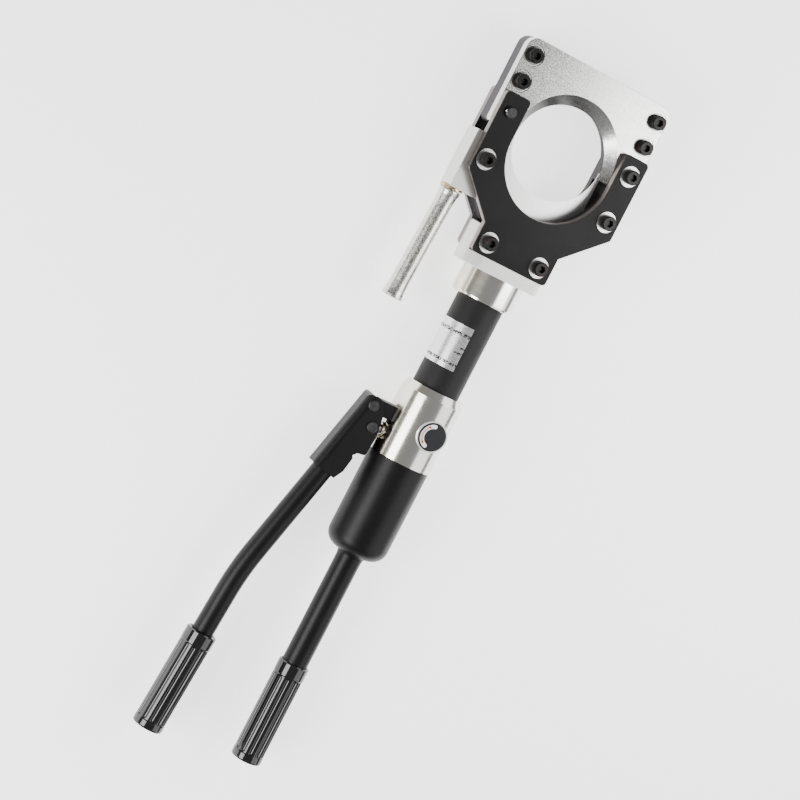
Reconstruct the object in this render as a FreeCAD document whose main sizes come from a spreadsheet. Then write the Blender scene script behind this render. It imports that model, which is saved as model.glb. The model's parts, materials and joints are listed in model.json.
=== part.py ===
import FreeCAD, Part
import math
import os
from types import SimpleNamespace

import Sketcher
from FreeCAD import Placement, Rotation, Vector

# Hydraulic hand cable cutter with a swinging gate, lying on its back.
#
# Frame: the origin is the middle of the flat on the back of the neck block, the face that the
# tool lies on. +Y runs along the tool towards the cutting head, +Z comes out of its front face
# and +X points right when the tool is seen from the front. Lengths are in millimetres.

doc = FreeCAD.newDocument("CableCutter")

# ---------------------------------------------------------------------------------------------
# Driving dimensions
# ---------------------------------------------------------------------------------------------

DIMENSIONS = (
    ("axis_height", 29.3, "height of the tool's axis over the flat that it lies on"),
    ("play", 0.3, "gap between flat faces that slide past each other"),
    ("running", 0.05, "radial clearance of a shaft in its bore"),
    # side plates of the head
    ("plate_thickness", 7.5, "side plate thickness"),
    ("plate_gap", 25.6, "distance between the two side plates"),
    ("plate_half_width", 75.5, "half the width of the side plates"),
    ("plate_tip_y", 143.0, "top of the side plates"),
    ("plate_side_y", 68.0, "bottom of the straight sides"),
    ("plate_waist_y", 33.0, "where the slanted edges meet the neck"),
    ("plate_bottom_y", 6.0, "bottom edge of the side plates"),
    ("neck_half_width", 39.0, "half the width of the plates at the neck"),
    ("plate_corner", 4.0, "corner radius of the side plates"),
    ("front_opening_radius", 51.0, "radius of the front plate's opening"),
    ("rear_opening_radius", 47.0, "radius of the rear plate's opening"),
    ("plate_opening_y", 105.5, "centre of the plates' openings"),
    ("spot_radius", 9.5, "spot-face radius under a screw head"),
    ("spot_depth", 1.0, "spot-face depth"),
    # fasteners
    ("screw_radius", 4.0, "radius of the cap screws' shanks"),
    ("screw_hole_radius", 4.1, "radius of the cap screws' holes"),
    ("screw_head_radius", 6.6, "radius of the cap screws' heads"),
    ("screw_head_height", 8.0, "height of the cap screws' heads"),
    ("socket_radius", 3.46, "corner radius of the hexagon sockets"),
    ("neck_screw_x", 26.3, "neck screws, to each side"),
    ("neck_screw_y", 18.5, "neck screws, along the tool"),
    ("side_screw_x", 64.0, "side block screws, to each side"),
    ("side_screw_y", 81.2, "side block screws, along the tool"),
    # gate
    ("hinge_x", 64.0, "gate hinge on the right, latch pin on the left"),
    ("hinge_y", 126.0, "gate hinge and latch pin, along the tool"),
    ("hinge_radius", 6.0, "radius of the hinge bolt's shoulder"),
    ("latch_radius", 5.0, "radius of the latch pin"),
    ("gate_top_y", 194.3, "top edge of the gate"),
    ("gate_foot_y", 111.0, "bottom of the gate's legs"),
    ("gate_corner", 10.0, "radius of the gate's top corners"),
    ("fixed_blade_thickness", 9.8, "thickness of the fixed blade"),
    ("slot_thickness", 7.5, "thickness of the layer that the moving blade runs in"),
    ("gate_screw_x", 65.5, "gate screws, to each side"),
    ("gate_screw_low_y", 154.6, "lower gate screws"),
    ("gate_screw_high_y", 179.2, "upper gate screws"),
    ("gate_spot_depth", 0.6, "spot-face depth in the fixed blade"),
    # blades
    ("edge_radius", 44.0, "radius of both cutting edges"),
    ("fixed_edge_y", 113.7, "centre of the fixed cutting edge"),
    ("bevel_radius", 50.7, "radius of the fixed blade's opening at its front face"),
    ("bevel_y", 117.4, "centre of that opening"),
    ("moving_edge_y", 116.3, "centre of the moving cutting edge"),
    ("moving_bevel_radius", 46.2, "radius of the moving blade's hollow at its back"),
    ("blade_half_width", 46.7, "half the width of the moving blade"),
    ("blade_top_y", 117.0, "tips of the moving blade's horns"),
    ("blade_foot_y", 34.0, "bottom of the moving blade"),
    ("guide_half_width", 53.0, "half the width of the blade guides"),
    ("guide_opening_radius", 52.0, "radius of the guides' opening"),
    # side blocks and side handle
    ("block_top_y", 101.9, "top of the side blocks"),
    ("block_bottom_y", 47.1, "bottom of the side blocks"),
    ("left_block_x", 80.5, "outer face of the left block"),
    ("handle_x", 73.6, "side handle axis at the block, to the left"),
    ("handle_length", 106.5, "side handle length"),
    ("handle_radius", 8.4, "side handle radius"),
    ("handle_flare_radius", 9.8, "radius of the side handle's flared ends"),
    ("handle_tilt", 2.0, "degrees that the side handle leans outwards"),
    # neck
    ("neck_radius", 40.5, "radius of the neck block"),
    ("neck_flange_y", -5.5, "bottom of the neck block's flange"),
    ("neck_top_y", 31.0, "top of the neck block's tongue"),
    ("collar_radius", 29.15, "radius of the swivel collar"),
    ("collar_bottom_y", -31.0, "bottom of the swivel collar"),
    # cylinder and ram
    ("tube_radius", 22.0, "cylinder tube's outer radius"),
    ("tube_bore_radius", 18.0, "cylinder tube's bore radius"),
    ("tube_top_y", -8.0, "top of the cylinder tube"),
    ("tube_bottom_y", -130.0, "bottom of the cylinder tube"),
    ("ram_radius", 10.0, "radius of the ram"),
    ("ram_top_y", 52.0, "top of the ram"),
    ("ram_bore_radius", 6.5, "radius of the bore in the ram that holds its spring"),
    ("piston_top_y", -108.0, "top of the piston"),
    ("piston_bottom_y", -126.0, "bottom of the piston"),
    ("label_top_y", -55.0, "top of the foil label"),
    ("label_length", 41.0, "length of the foil label"),
    # valve body
    ("valve_radius", 29.1, "radius of the valve body"),
    ("valve_top_radius", 26.1, "radius of the valve body's top face"),
    ("valve_top_y", -118.0, "top of the valve body"),
    ("valve_cone_y", -125.0, "bottom of the valve body's cone"),
    ("valve_bottom_y", -188.4, "bottom of the valve body's visible part"),
    ("knob_x", 5.5, "release knob, to the right"),
    ("knob_y", -155.0, "release knob, along the tool"),
    ("knob_radius", 12.75, "radius of the release knob"),
    ("knob_ring_radius", 14.5, "outer radius of the ring round the knob"),
    ("valve_channel_x", -8.0, "oil channels beside the axis"),
    ("ball_radius", 2.9, "radius of the valve balls"),
    # reservoir, handle tube and grips
    ("shell_radius", 28.8, "radius of the reservoir shell"),
    ("shell_wall", 2.25, "wall of the reservoir shell"),
    ("shell_round_y", -267.0, "where the shell's shoulder starts"),
    ("shell_round_radius", 14.5, "radius of the shoulder"),
    ("shell_neck_y", -296.0, "where the shell joins the handle tube"),
    ("shell_fillet", 7.0, "height of the fillet between shoulder and neck"),
    ("handle_tube_radius", 12.0, "radius of the handle tube"),
    ("handle_tube_wall", 2.5, "wall of the handle tube"),
    ("grip_top_y", -393.0, "top of the fixed grip"),
    ("grip_length", 98.0, "length of each grip"),
    ("grip_radius", 14.0, "radius over a grip's ribs"),
    ("grip_ring_radius", 14.4, "radius of a grip's end rings"),
    ("grip_top_ring", 13.0, "length of a grip's upper ring"),
    ("grip_bottom_ring", 8.0, "length of a grip's lower ring"),
    ("groove_radius", 2.4, "radius of the grooves between the ribs"),
    # lever and plunger
    ("fulcrum_x", -49.7, "fulcrum pin, across the tool"),
    ("fulcrum_y", -153.4, "fulcrum pin, along the tool"),
    ("lever_angle", 13.4, "degrees that the lever leans outwards"),
    ("lever_axis_x", 5.25, "lever tube's axis, beside the fulcrum"),
    ("lever_tube_radius", 10.0, "lever tube's outer radius"),
    ("lever_tube_wall", 2.0, "lever tube's wall"),
    ("lever_tube_top", 48.0, "top of the lever tube, below the fulcrum"),
    ("lever_bend", 186.6, "bend of the lever tube, below the fulcrum"),
    ("lever_bend_angle", 9.75, "degrees of the bend"),
    ("lever_bend_radius", 260.0, "radius of the bend"),
    ("lever_leg", 160.7, "length from the bend to the lever's end"),
    ("fork_wall", 2.5, "sheet thickness of the fork"),
    ("fork_back", 8.6, "outside of the fork's back, beside the fulcrum"),
    ("fork_half_width", 12.5, "half the width over the fork's cheeks"),
    ("fork_bend_radius", 7.0, "outer radius of the fork's bends"),
    ("fork_top", 7.8, "top of the fork, above the fulcrum"),
    ("fork_length", 79.0, "length of the fork"),
    ("pin_radius", 3.6, "radius of the fulcrum pin"),
    ("plunger_pin_radius", 3.5, "radius of the plunger pin"),
    ("plunger_pin_x", 11.52, "plunger pin, beside the fulcrum, in the lever's own frame"),
    ("plunger_pin_y", -15.14, "plunger pin, along the lever, in the lever's own frame"),
    ("plunger_y", -170.8, "plunger axis, along the tool"),
    ("plunger_radius", 4.75, "radius of the plunger"),
    ("lug_half_width", 9.5, "half the width of the fulcrum lug"),
    ("lug_radius", 5.7, "radius of the lug's end"),
    ("lug_tongue_half_width", 5.2, "half the width of the lug's end, inside the fork's bends"),
    ("lug_shoulder_x", 7.2, "where the lug widens, beside the fulcrum"),
    ("lug_top", 7.0, "top of the lug, above the fulcrum"),
    ("lug_bottom", 6.1, "bottom of the lug, below the fulcrum"),
)

sheet = doc.addObject("Spreadsheet::Sheet", "Dims")
for row, (alias, value, note) in enumerate(DIMENSIONS, start=1):
    sheet.set(f"A{row}", note)
    sheet.set(f"B{row}", str(value))
    sheet.setAlias(f"B{row}", alias)
doc.recompute()


class Size:
    """A number, with the spreadsheet expression that it comes from."""

    def __init__(self, value, text):
        self.value = float(value)
        self.text = text

    def __add__(self, other):
        return Size(self.value + number(other), f"({self.text} + {words(other)})")

    def __sub__(self, other):
        return Size(self.value - number(other), f"({self.text} - {words(other)})")

    def __mul__(self, factor):
        return Size(self.value * number(factor), f"({self.text} * {words(factor)})")

    def __truediv__(self, factor):
        return Size(self.value / number(factor), f"({self.text} / {words(factor)})")

    def __neg__(self):
        return Size(-self.value, f"(-{self.text})")

    __radd__ = __add__
    __rmul__ = __mul__

    def __rsub__(self, other):
        return -self + other


def number(size):
    return size.value if isinstance(size, Size) else float(size)


def words(size):
    return size.text if isinstance(size, Size) else f"({float(size):.6f})"


d = SimpleNamespace(**{alias: Size(value, f"Dims.{alias}") for alias, value, _ in DIMENSIONS})

# Heights of the head's layers over the tool's axis, from the back to the front.
half_gap = d.plate_gap / 2
gate_front = half_gap - d.play
slot_front = gate_front - d.fixed_blade_thickness
slot_back = slot_front - d.slot_thickness
gate_back = -gate_front

ALONG = {
    "X": Rotation(Vector(0, 1, 0), 90),
    "Y": Rotation(Vector(1, 0, 0), -90),
    "Z": Rotation(),
}
TURNED_ALONG = {
    "X": Rotation(Vector(0, 0, 1), -90),
    "Y": Rotation(),
    "Z": Rotation(Vector(1, 0, 0), 90),
}

# ---------------------------------------------------------------------------------------------
# Tools for making parametric objects
# ---------------------------------------------------------------------------------------------


def bind(thing, path, size):
    """Tie one property of an object to the sheet, or set it to a plain number."""
    if isinstance(size, Size):
        thing.setExpression(path, size.text)
    else:
        setattr(thing, path, size)


def place(thing, x=0, y=0, z=0, turn=None):
    """Give an object its placement, with the coordinates tied to the sheet."""
    thing.Placement = Placement(Vector(number(x), number(y), number(z)), turn or Rotation())
    for axis, size in (("x", x), ("y", y), ("z", z)):
        if isinstance(size, Size):
            thing.setExpression(f"Placement.Base.{axis}", size.text)
    return thing


def new_body(label):
    body = doc.addObject("PartDesign::Body", label)
    body.Label = label
    return body


def new_sketch(body, lift=0):
    """A sketch on the body's own XY plane, lifted along its normal."""
    plane = next(f for f in body.Origin.OriginFeatures if f.Role == "XY_Plane")
    sketch = body.newObject("Sketcher::SketchObject", "Sketch")
    sketch.AttachmentSupport = [(plane, "")]
    sketch.MapMode = "FlatFace"
    sketch.AttachmentOffset = Placement(Vector(0, 0, number(lift)), Rotation())
    if isinstance(lift, Size):
        sketch.setExpression("AttachmentOffset.Base.z", lift.text)
    return sketch


def measure(sketch, kind, *where):
    """Add a dimension to a sketch; its last argument is the size."""
    *target, size = where
    index = sketch.addConstraint(Sketcher.Constraint(kind, *target, number(size)))
    if isinstance(size, Size):
        sketch.setExpression(f"Constraints[{index}]", size.text)


def fix_point(sketch, geometry, end, x, y):
    measure(sketch, "DistanceX", -1, 1, geometry, end, x)
    measure(sketch, "DistanceY", -1, 1, geometry, end, y)


def draw_polygon(sketch, corners):
    first = sketch.GeometryCount
    points = [Vector(number(x), number(y), 0) for x, y in corners]
    count = len(points)
    for index in range(count):
        sketch.addGeometry(Part.LineSegment(points[index], points[(index + 1) % count]))
    for index in range(count):
        following = first + (index + 1) % count
        sketch.addConstraint(Sketcher.Constraint("Coincident", first + index, 2, following, 1))
    for index, (x, y) in enumerate(corners):
        fix_point(sketch, first + index, 1, x, y)


def draw_circle(sketch, x, y, radius):
    circle = Part.Circle(Vector(number(x), number(y), 0), Vector(0, 0, 1), number(radius))
    index = sketch.addGeometry(circle)
    fix_point(sketch, index, 3, x, y)
    measure(sketch, "Radius", index, radius)


def pad(body, corners, thickness, lift=0):
    sketch = new_sketch(body, lift)
    draw_polygon(sketch, corners)
    feature = body.newObject("PartDesign::Pad", "Pad")
    feature.Profile = sketch
    bind(feature, "Length", thickness)
    doc.recompute()
    return feature


def pocket(body, lift, depth, circles=(), polygons=()):
    """Cut shapes out of a body, from a level downwards."""
    sketch = new_sketch(body, lift)
    for circle in circles:
        draw_circle(sketch, *circle)
    for corners in polygons:
        draw_polygon(sketch, corners)
    feature = body.newObject("PartDesign::Pocket", "Pocket")
    feature.Profile = sketch
    bind(feature, "Length", depth)
    doc.recompute()
    return feature


def dress(body, kind, size, chosen):
    """Round or chamfer the edges of a body's last feature that a test chooses."""
    base = body.Tip
    names = [f"Edge{i}" for i, edge in enumerate(base.Shape.Edges, start=1) if chosen(edge)]
    feature = body.newObject(f"PartDesign::{kind}", kind)
    feature.Base = (base, names)
    bind(feature, "Radius" if kind == "Fillet" else "Size", size)
    doc.recompute()
    return feature


def upright_at(*spots):
    """Choose the edges along the thickness that stand at these corners."""
    wanted = [(number(x), number(y)) for x, y in spots]

    def chosen(edge):
        box = edge.BoundBox
        if box.XLength > 0.01 or box.YLength > 0.01:
            return False
        return any(math.hypot(box.XMin - x, box.YMin - y) < 0.01 for x, y in wanted)

    return chosen


def at_level(level):
    """Choose the edges that lie in a face at this height."""
    height = number(level)

    def chosen(edge):
        box = edge.BoundBox
        return abs(box.ZMin - height) < 0.001 and abs(box.ZMax - height) < 0.001

    return chosen


def turned(label, profile, x=0, y=0, z=0, along="Y"):
    """A body of revolution; the profile's points are (radius, distance along the axis)."""
    body = new_body(label)
    sketch = new_sketch(body)
    draw_polygon(sketch, profile)
    feature = body.newObject("PartDesign::Revolution", "Revolution")
    feature.Profile = sketch
    feature.ReferenceAxis = (sketch, ["V_Axis"])
    feature.Angle = 360.0
    doc.recompute()
    return place(body, x, y, z, TURNED_ALONG[along])


def ring_profile(inner, outer, low, high, edge=0):
    """Profile of a plain ring or, with no inner radius, a disc; its outer edges are broken."""
    if edge:
        rim = [(outer - edge, low), (outer, low + edge), (outer, high - edge), (outer - edge, high)]
    else:
        rim = [(outer, low), (outer, high)]
    return [(inner, low), *rim, (inner, high)]


def cylinder(radius, length, x=0, y=0, z=0, along="Z"):
    thing = doc.addObject("Part::Cylinder", "Cylinder")
    bind(thing, "Radius", radius)
    bind(thing, "Height", length)
    return place(thing, x, y, z, ALONG[along])


def block(low, high):
    """A box between two corners."""
    thing = doc.addObject("Part::Box", "Box")
    for side, start, end in zip(("Length", "Width", "Height"), low, high):
        bind(thing, side, end - start)
    return place(thing, *low)


def ball(radius, x, y, z):
    thing = doc.addObject("Part::Sphere", "Sphere")
    bind(thing, "Radius", radius)
    return place(thing, x, y, z)


def joined(shapes, label="Joined"):
    thing = doc.addObject("Part::MultiFuse", label)
    thing.Label = label
    thing.Shapes = shapes
    return thing


def cut(label, base, tools):
    thing = doc.addObject("Part::Cut", label)
    thing.Label = label
    thing.Base = base
    thing.Tool = tools[0] if len(tools) == 1 else joined(tools, f"{label}_tools")
    return thing


def group(label, members):
    """Identical pieces that share one node, as separate solids."""
    thing = doc.addObject("Part::Compound", label)
    thing.Label = label
    thing.Links = members
    return thing


def mirror_x(corners):
    return [(-x, y) for x, y in reversed(corners)]


# ---------------------------------------------------------------------------------------------
# Head: side plates, blocks, guides, neck and swivel collar
# ---------------------------------------------------------------------------------------------

OPEN_END = 10.0  # how far a cut runs out past the edge that it opens
SHEET_EDGE = 0.5  # broken edge of the plates
LATCH_BALL_RADIUS = 1.5  # sprung ball of the latch pin
BALL_STAND_OUT = 0.9  # how far the ball stands out of the pin
GUIDE_FOOT = 23.0  # width of a guide at its foot
GUIDE_CUT = 6.0  # rise of a guide's slanted lower corner
COLLAR_SPIGOT_RADIUS = 26.0
COLLAR_SPIGOT_LENGTH = 8.0
COLLAR_THROAT_RADIUS = 14.0
RING_GROOVE_RADIUS = 23.8
RING_DEPTH = 9.0  # from the tube's top to the middle of the ring
RING_WIDTH = 2.4
TUBE_GROOVE_DEPTH = 1.5
TIP_STAND_OUT = 1.5  # how far a screw's tip stands out at the back
STUD_RADIUS = 5.0
STUD_LENGTH = 18.0
STUD_PLAY = 0.8  # radial play of the stud in the block and in the washer
WASHER_THICKNESS = 2.0
WASHER_RIM = 0.9  # how far the washer stands out past the side handle
TILT_GAP = 0.4  # room for the tilted end of the side handle under its washer
BLOCK_CORNER = 1.5  # rounded outer corners of the side blocks
COLLAR_ROUND = 2.5  # rounded lower rim of the collar
COLLAR_ROUND_MIDDLE = 0.7
SCREW_TIP = 0.8  # chamfer of a screw's tip
# Broken edge of a screw head: radius against the head's, height against its top.
SCREW_CROWN = ((0.0, -0.9), (-0.25, -0.35), (-0.9, 0.0))
# Ends of the side handle: radius against the flare's, height against that end.
HANDLE_FOOT = ((-3.4, 1.0), (-2.4, 0.0), (-1.4, 0.0), (0.0, 0.8), (0.0, 2.4))
HANDLE_TOP = ((0.0, -2.2), (0.0, -0.8), (-0.6, 0.0))
# Where the rod runs into its flares: radius against the rod's, height against the near end.
HANDLE_LOW_BLEND = ((0.5, 7.0), (0.0, 16.0))
HANDLE_HIGH_BLEND = ((0.0, -14.0), (0.5, -6.0))


def plate_outline():
    right = [
        (d.neck_half_width, d.plate_bottom_y),
        (d.neck_half_width, d.plate_waist_y),
        (d.plate_half_width, d.plate_side_y),
        (d.plate_half_width, d.plate_tip_y),
    ]
    return right + mirror_x(right)


def side_plate(label, opening, base_z, head_side):
    """U-shaped plate; its screws' spot-faces are on the head side only."""
    body = new_body(label)
    thick = d.plate_thickness
    pad(body, plate_outline(), thick)
    slot = [
        (-opening, d.plate_opening_y),
        (opening, d.plate_opening_y),
        (opening, d.plate_tip_y + OPEN_END),
        (-opening, d.plate_tip_y + OPEN_END),
    ]
    pocket(body, thick, thick, circles=[(0, d.plate_opening_y, opening)])
    pocket(body, thick, thick, polygons=[slot])
    corners = [(x, d.plate_tip_y) for x in (d.plate_half_width, opening)]
    corners += [(d.plate_half_width, d.plate_side_y), (d.neck_half_width, d.plate_bottom_y)]
    dress(body, "Fillet", d.plate_corner, upright_at(*corners, *[(-x, y) for x, y in corners]))
    dress(body, "Chamfer", SHEET_EDGE, at_level(thick if head_side else 0))
    screws = [
        (side * x, y)
        for side in (-1, 1)
        for x, y in ((d.neck_screw_x, d.neck_screw_y), (d.side_screw_x, d.side_screw_y))
    ]
    hinge = (d.hinge_x, d.hinge_y)
    hinge_hole = d.hinge_radius if head_side else d.screw_hole_radius
    pocket(body, thick, thick, circles=[(x, y, d.screw_hole_radius) for x, y in screws])
    pocket(body, thick, thick, circles=[(*hinge, hinge_hole)])
    pocket(body, thick, thick, circles=[(-d.hinge_x, d.hinge_y, d.latch_radius + d.running)])
    pocket(body, thick, thick, polygons=[ball_groove()])
    if head_side:
        spots = [(x, y, d.spot_radius) for x, y in [*screws, hinge]]
        pocket(body, thick, d.spot_depth, circles=spots)
    return place(body, 0, 0, d.axis_height + base_z)


def ball_groove():
    """Groove beside the latch hole, which lets the pin's sprung ball through."""
    left = -d.hinge_x - d.latch_radius - BALL_STAND_OUT - d.play
    return [
        (left, d.hinge_y - LATCH_BALL_RADIUS - d.play),
        (-d.hinge_x, d.hinge_y - LATCH_BALL_RADIUS - d.play),
        (-d.hinge_x, d.hinge_y + LATCH_BALL_RADIUS + d.play),
        (left, d.hinge_y + LATCH_BALL_RADIUS + d.play),
    ]


def side_block(label, side, outer, foot_y):
    """Spacer between the plates; side is -1 on the left and 1 on the right."""
    body = new_body(label)
    corners = [
        (d.guide_half_width, d.block_bottom_y),
        (outer, foot_y),
        (outer, d.block_top_y),
        (d.guide_half_width, d.block_top_y),
    ]
    pad(body, corners if side > 0 else mirror_x(corners), d.plate_gap)
    outer_corners = ((outer * side, foot_y), (outer * side, d.block_top_y))
    dress(body, "Fillet", BLOCK_CORNER, upright_at(*outer_corners))
    hole = (d.side_screw_x * side, d.side_screw_y, d.screw_hole_radius)
    pocket(body, d.plate_gap, d.plate_gap, circles=[hole])
    return place(body, 0, 0, d.axis_height - half_gap)


def guide_half(side, low, high):
    """Half of a guide plate, from the ram's slot to the side block."""
    body = new_body("Guide")
    inner = d.ram_radius + 2 * d.play
    corners = [
        (inner, d.plate_waist_y),
        (inner + GUIDE_FOOT, d.plate_waist_y),
        (d.guide_half_width, d.block_bottom_y + GUIDE_CUT),
        (d.guide_half_width, d.plate_opening_y),
        (inner, d.plate_opening_y),
    ]
    pad(body, corners if side > 0 else mirror_x(corners), high - low)
    pocket(body, high - low, high - low, circles=[(0, d.plate_opening_y, d.guide_opening_radius)])
    above = [
        (-d.plate_half_width, d.block_top_y),
        (d.plate_half_width, d.block_top_y),
        (d.plate_half_width, d.plate_tip_y),
        (-d.plate_half_width, d.plate_tip_y),
    ]
    pocket(body, high - low, high - low, polygons=[above])
    return place(body, 0, 0, d.axis_height + low)


def side_guide(side):
    """Rail in the blade's own layer, between the moving blade and a side block."""
    body = new_body("Rail")
    inner = d.blade_half_width + d.play
    corners = [
        (inner, d.block_bottom_y),
        (d.guide_half_width, d.block_bottom_y + GUIDE_CUT),
        (d.guide_half_width, d.block_top_y),
        (inner, d.block_top_y),
    ]
    pad(body, corners if side > 0 else mirror_x(corners), d.slot_thickness)
    return place(body, 0, 0, d.axis_height + slot_back)


def neck_block():
    """Turned flange with two flats, and a flat tongue that reaches between the plates."""
    base = turned(
        "neck_turning",
        ring_profile(0, d.neck_radius, d.neck_flange_y, d.neck_top_y, edge=0.8),
        z=d.axis_height,
    )
    reach = d.neck_radius + OPEN_END
    cheeks = [
        block(
            (-reach, d.plate_bottom_y, d.axis_height + half_gap),
            (reach, d.neck_top_y + OPEN_END, d.axis_height + reach),
        ),
        block(
            (-reach, d.plate_bottom_y, d.axis_height - reach),
            (reach, d.neck_top_y + OPEN_END, d.axis_height - half_gap),
        ),
    ]
    flats = [
        block(
            (-reach, d.neck_flange_y - OPEN_END, d.axis_height * 2),
            (reach, d.neck_top_y + OPEN_END, d.axis_height * 2 + reach),
        ),
        block(
            (-reach, d.neck_flange_y - OPEN_END, -reach),
            (reach, d.neck_top_y + OPEN_END, 0),
        ),
    ]
    bores = [
        cylinder(
            d.ram_radius + d.running,
            d.neck_top_y - d.neck_flange_y + 2 * OPEN_END,
            y=d.neck_flange_y - OPEN_END,
            z=d.axis_height,
            along="Y",
        ),
        cylinder(
            COLLAR_SPIGOT_RADIUS,
            COLLAR_SPIGOT_LENGTH + OPEN_END,
            y=d.neck_flange_y - OPEN_END,
            z=d.axis_height,
            along="Y",
        ),
    ]
    bores += [
        cylinder(d.screw_hole_radius, d.axis_height * 2, x=d.neck_screw_x * side, y=d.neck_screw_y)
        for side in (-1, 1)
    ]
    return cut("neck_block", base, [*cheeks, *flats, *bores])


def collar():
    """Swivel collar; it turns on the cylinder tube and is held by a ring in a groove."""
    spigot_top = d.neck_flange_y + COLLAR_SPIGOT_LENGTH
    bore = d.tube_radius + d.running
    groove = RING_GROOVE_RADIUS
    middle = d.tube_top_y - RING_DEPTH
    profile = [
        (bore, d.collar_bottom_y),
        (d.collar_radius - COLLAR_ROUND, d.collar_bottom_y),
        (d.collar_radius - COLLAR_ROUND_MIDDLE, d.collar_bottom_y + COLLAR_ROUND_MIDDLE),
        (d.collar_radius, d.collar_bottom_y + COLLAR_ROUND),
        (d.collar_radius, d.neck_flange_y),
        (COLLAR_SPIGOT_RADIUS, d.neck_flange_y),
        (COLLAR_SPIGOT_RADIUS, spigot_top),
        (COLLAR_THROAT_RADIUS, spigot_top),
        (COLLAR_THROAT_RADIUS, d.tube_top_y + d.play),
        (bore, d.tube_top_y + d.play),
        (bore, middle + RING_WIDTH / 2),
        (groove, middle + RING_WIDTH / 2),
        (groove, middle - RING_WIDTH / 2),
        (bore, middle - RING_WIDTH / 2),
    ]
    return turned("collar", profile, z=d.axis_height)


def swivel_ring():
    """Ring that keeps the collar on the tube."""
    middle = d.tube_top_y - RING_DEPTH
    low = middle - RING_WIDTH / 2
    high = middle + RING_WIDTH / 2
    inner = d.tube_radius - TUBE_GROOVE_DEPTH + d.play
    return turned("swivel_ring", ring_profile(inner, RING_GROOVE_RADIUS, low, high), z=d.axis_height)


def cap_screw(label, length, x, y, seat_z):
    """Socket cap screw along Z, with its head on a seat at this height."""
    body = new_body(label)
    sketch = new_sketch(body)
    head = d.screw_head_radius
    top = d.screw_head_height
    draw_polygon(
        sketch,
        [
            (0, -length),
            (d.screw_radius - SCREW_TIP, -length),
            (d.screw_radius, -length + SCREW_TIP),
            (d.screw_radius, 0),
            (head, 0),
            *((head + out, top + rise) for out, rise in SCREW_CROWN),
            (0, top),
        ],
    )
    feature = body.newObject("PartDesign::Revolution", "Revolution")
    feature.Profile = sketch
    feature.ReferenceAxis = (sketch, ["V_Axis"])
    doc.recompute()
    place(body, x, y, seat_z, TURNED_ALONG["Z"])
    socket = doc.addObject("Part::Prism", "Socket")
    socket.Polygon = 6
    bind(socket, "Circumradius", d.socket_radius)
    bind(socket, "Height", top)
    place(socket, x, y, seat_z + top / 2)
    return cut(f"{label}_cut", body, [socket])


def hinge_bolt():
    """Shoulder bolt that the gate turns on; its head looks like the cap screws'."""
    seat = d.plate_gap / 2 + d.plate_thickness - d.spot_depth
    screw = cap_screw("hinge_screw", seat * 2 + d.spot_depth + TIP_STAND_OUT, d.hinge_x, d.hinge_y,
                      d.axis_height + seat)
    shoulder = cylinder(
        d.hinge_radius,
        seat + half_gap,
        x=d.hinge_x,
        y=d.hinge_y,
        z=d.axis_height - half_gap,
    )
    return joined([screw, shoulder], "hinge_bolt")


def side_handle():
    """Cast rod with flared ends; its stud runs up into the left block."""
    rod = d.handle_radius
    flare = d.handle_flare_radius
    low = -d.handle_length
    profile = [
        (0, low + HANDLE_FOOT[0][1]),
        *((flare + out, low + rise) for out, rise in HANDLE_FOOT),
        *((rod + out, low + rise) for out, rise in HANDLE_LOW_BLEND),
        *((rod + out, rise) for out, rise in HANDLE_HIGH_BLEND),
        *((flare + out, rise) for out, rise in HANDLE_TOP),
        (STUD_RADIUS, 0),
        (STUD_RADIUS, STUD_LENGTH),
        (0, STUD_LENGTH),
    ]
    rod_top = d.block_bottom_y - WASHER_THICKNESS - TILT_GAP
    turn = Rotation(Vector(0, 0, 1), -number(d.handle_tilt))
    return place(turned("side_handle", profile), -d.handle_x, rod_top, d.axis_height, turn)


front_side_plate = side_plate("front_side_plate", d.front_opening_radius, half_gap, True)
rear_side_plate = side_plate(
    "rear_side_plate", d.rear_opening_radius, -half_gap - d.plate_thickness, False
)
stud_hole = cylinder(
    STUD_RADIUS + STUD_PLAY,
    STUD_LENGTH + OPEN_END,
    x=-d.handle_x,
    y=d.block_bottom_y - OPEN_END,
    z=d.axis_height,
    along="Y",
)
left_side_block = cut(
    "left_side_block",
    side_block("left_block_body", -1, d.left_block_x, d.block_bottom_y),
    [stud_hole],
)
right_side_block = side_block("right_side_block", 1, d.plate_half_width, d.plate_side_y)
front_guides = group("front_guides", [guide_half(s, slot_front, half_gap) for s in (-1, 1)])
rear_guides = group("rear_guides", [guide_half(s, -half_gap, slot_back) for s in (-1, 1)])
side_guides = group("side_guides", [side_guide(s) for s in (-1, 1)])
head_pieces = [
    front_side_plate,
    rear_side_plate,
    left_side_block,
    right_side_block,
    front_guides,
    rear_guides,
    side_guides,
    neck_block(),
    collar(),
    swivel_ring(),
    hinge_bolt(),
    side_handle(),
]

plate_seat = half_gap + d.plate_thickness - d.spot_depth
plate_screws = group(
    "plate_screws",
    [
        cap_screw("plate_screw", plate_seat * 2 + d.spot_depth + TIP_STAND_OUT, x * side, y,
                  d.axis_height + plate_seat)
        for x, y in ((d.neck_screw_x, d.neck_screw_y), (d.side_screw_x, d.side_screw_y))
        for side in (-1, 1)
    ],
)
handle_washer = turned(
    "handle_washer",
    ring_profile(
        STUD_RADIUS + STUD_PLAY, d.handle_flare_radius + WASHER_RIM, -WASHER_THICKNESS, 0, edge=0.3
    ),
    x=-d.handle_x,
    y=d.block_bottom_y,
    z=d.axis_height,
)
head_pieces += [plate_screws, handle_washer]

# ---------------------------------------------------------------------------------------------
# Gate: fixed blade, spacers, backing plate, screws, and the latch pin
# ---------------------------------------------------------------------------------------------

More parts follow.
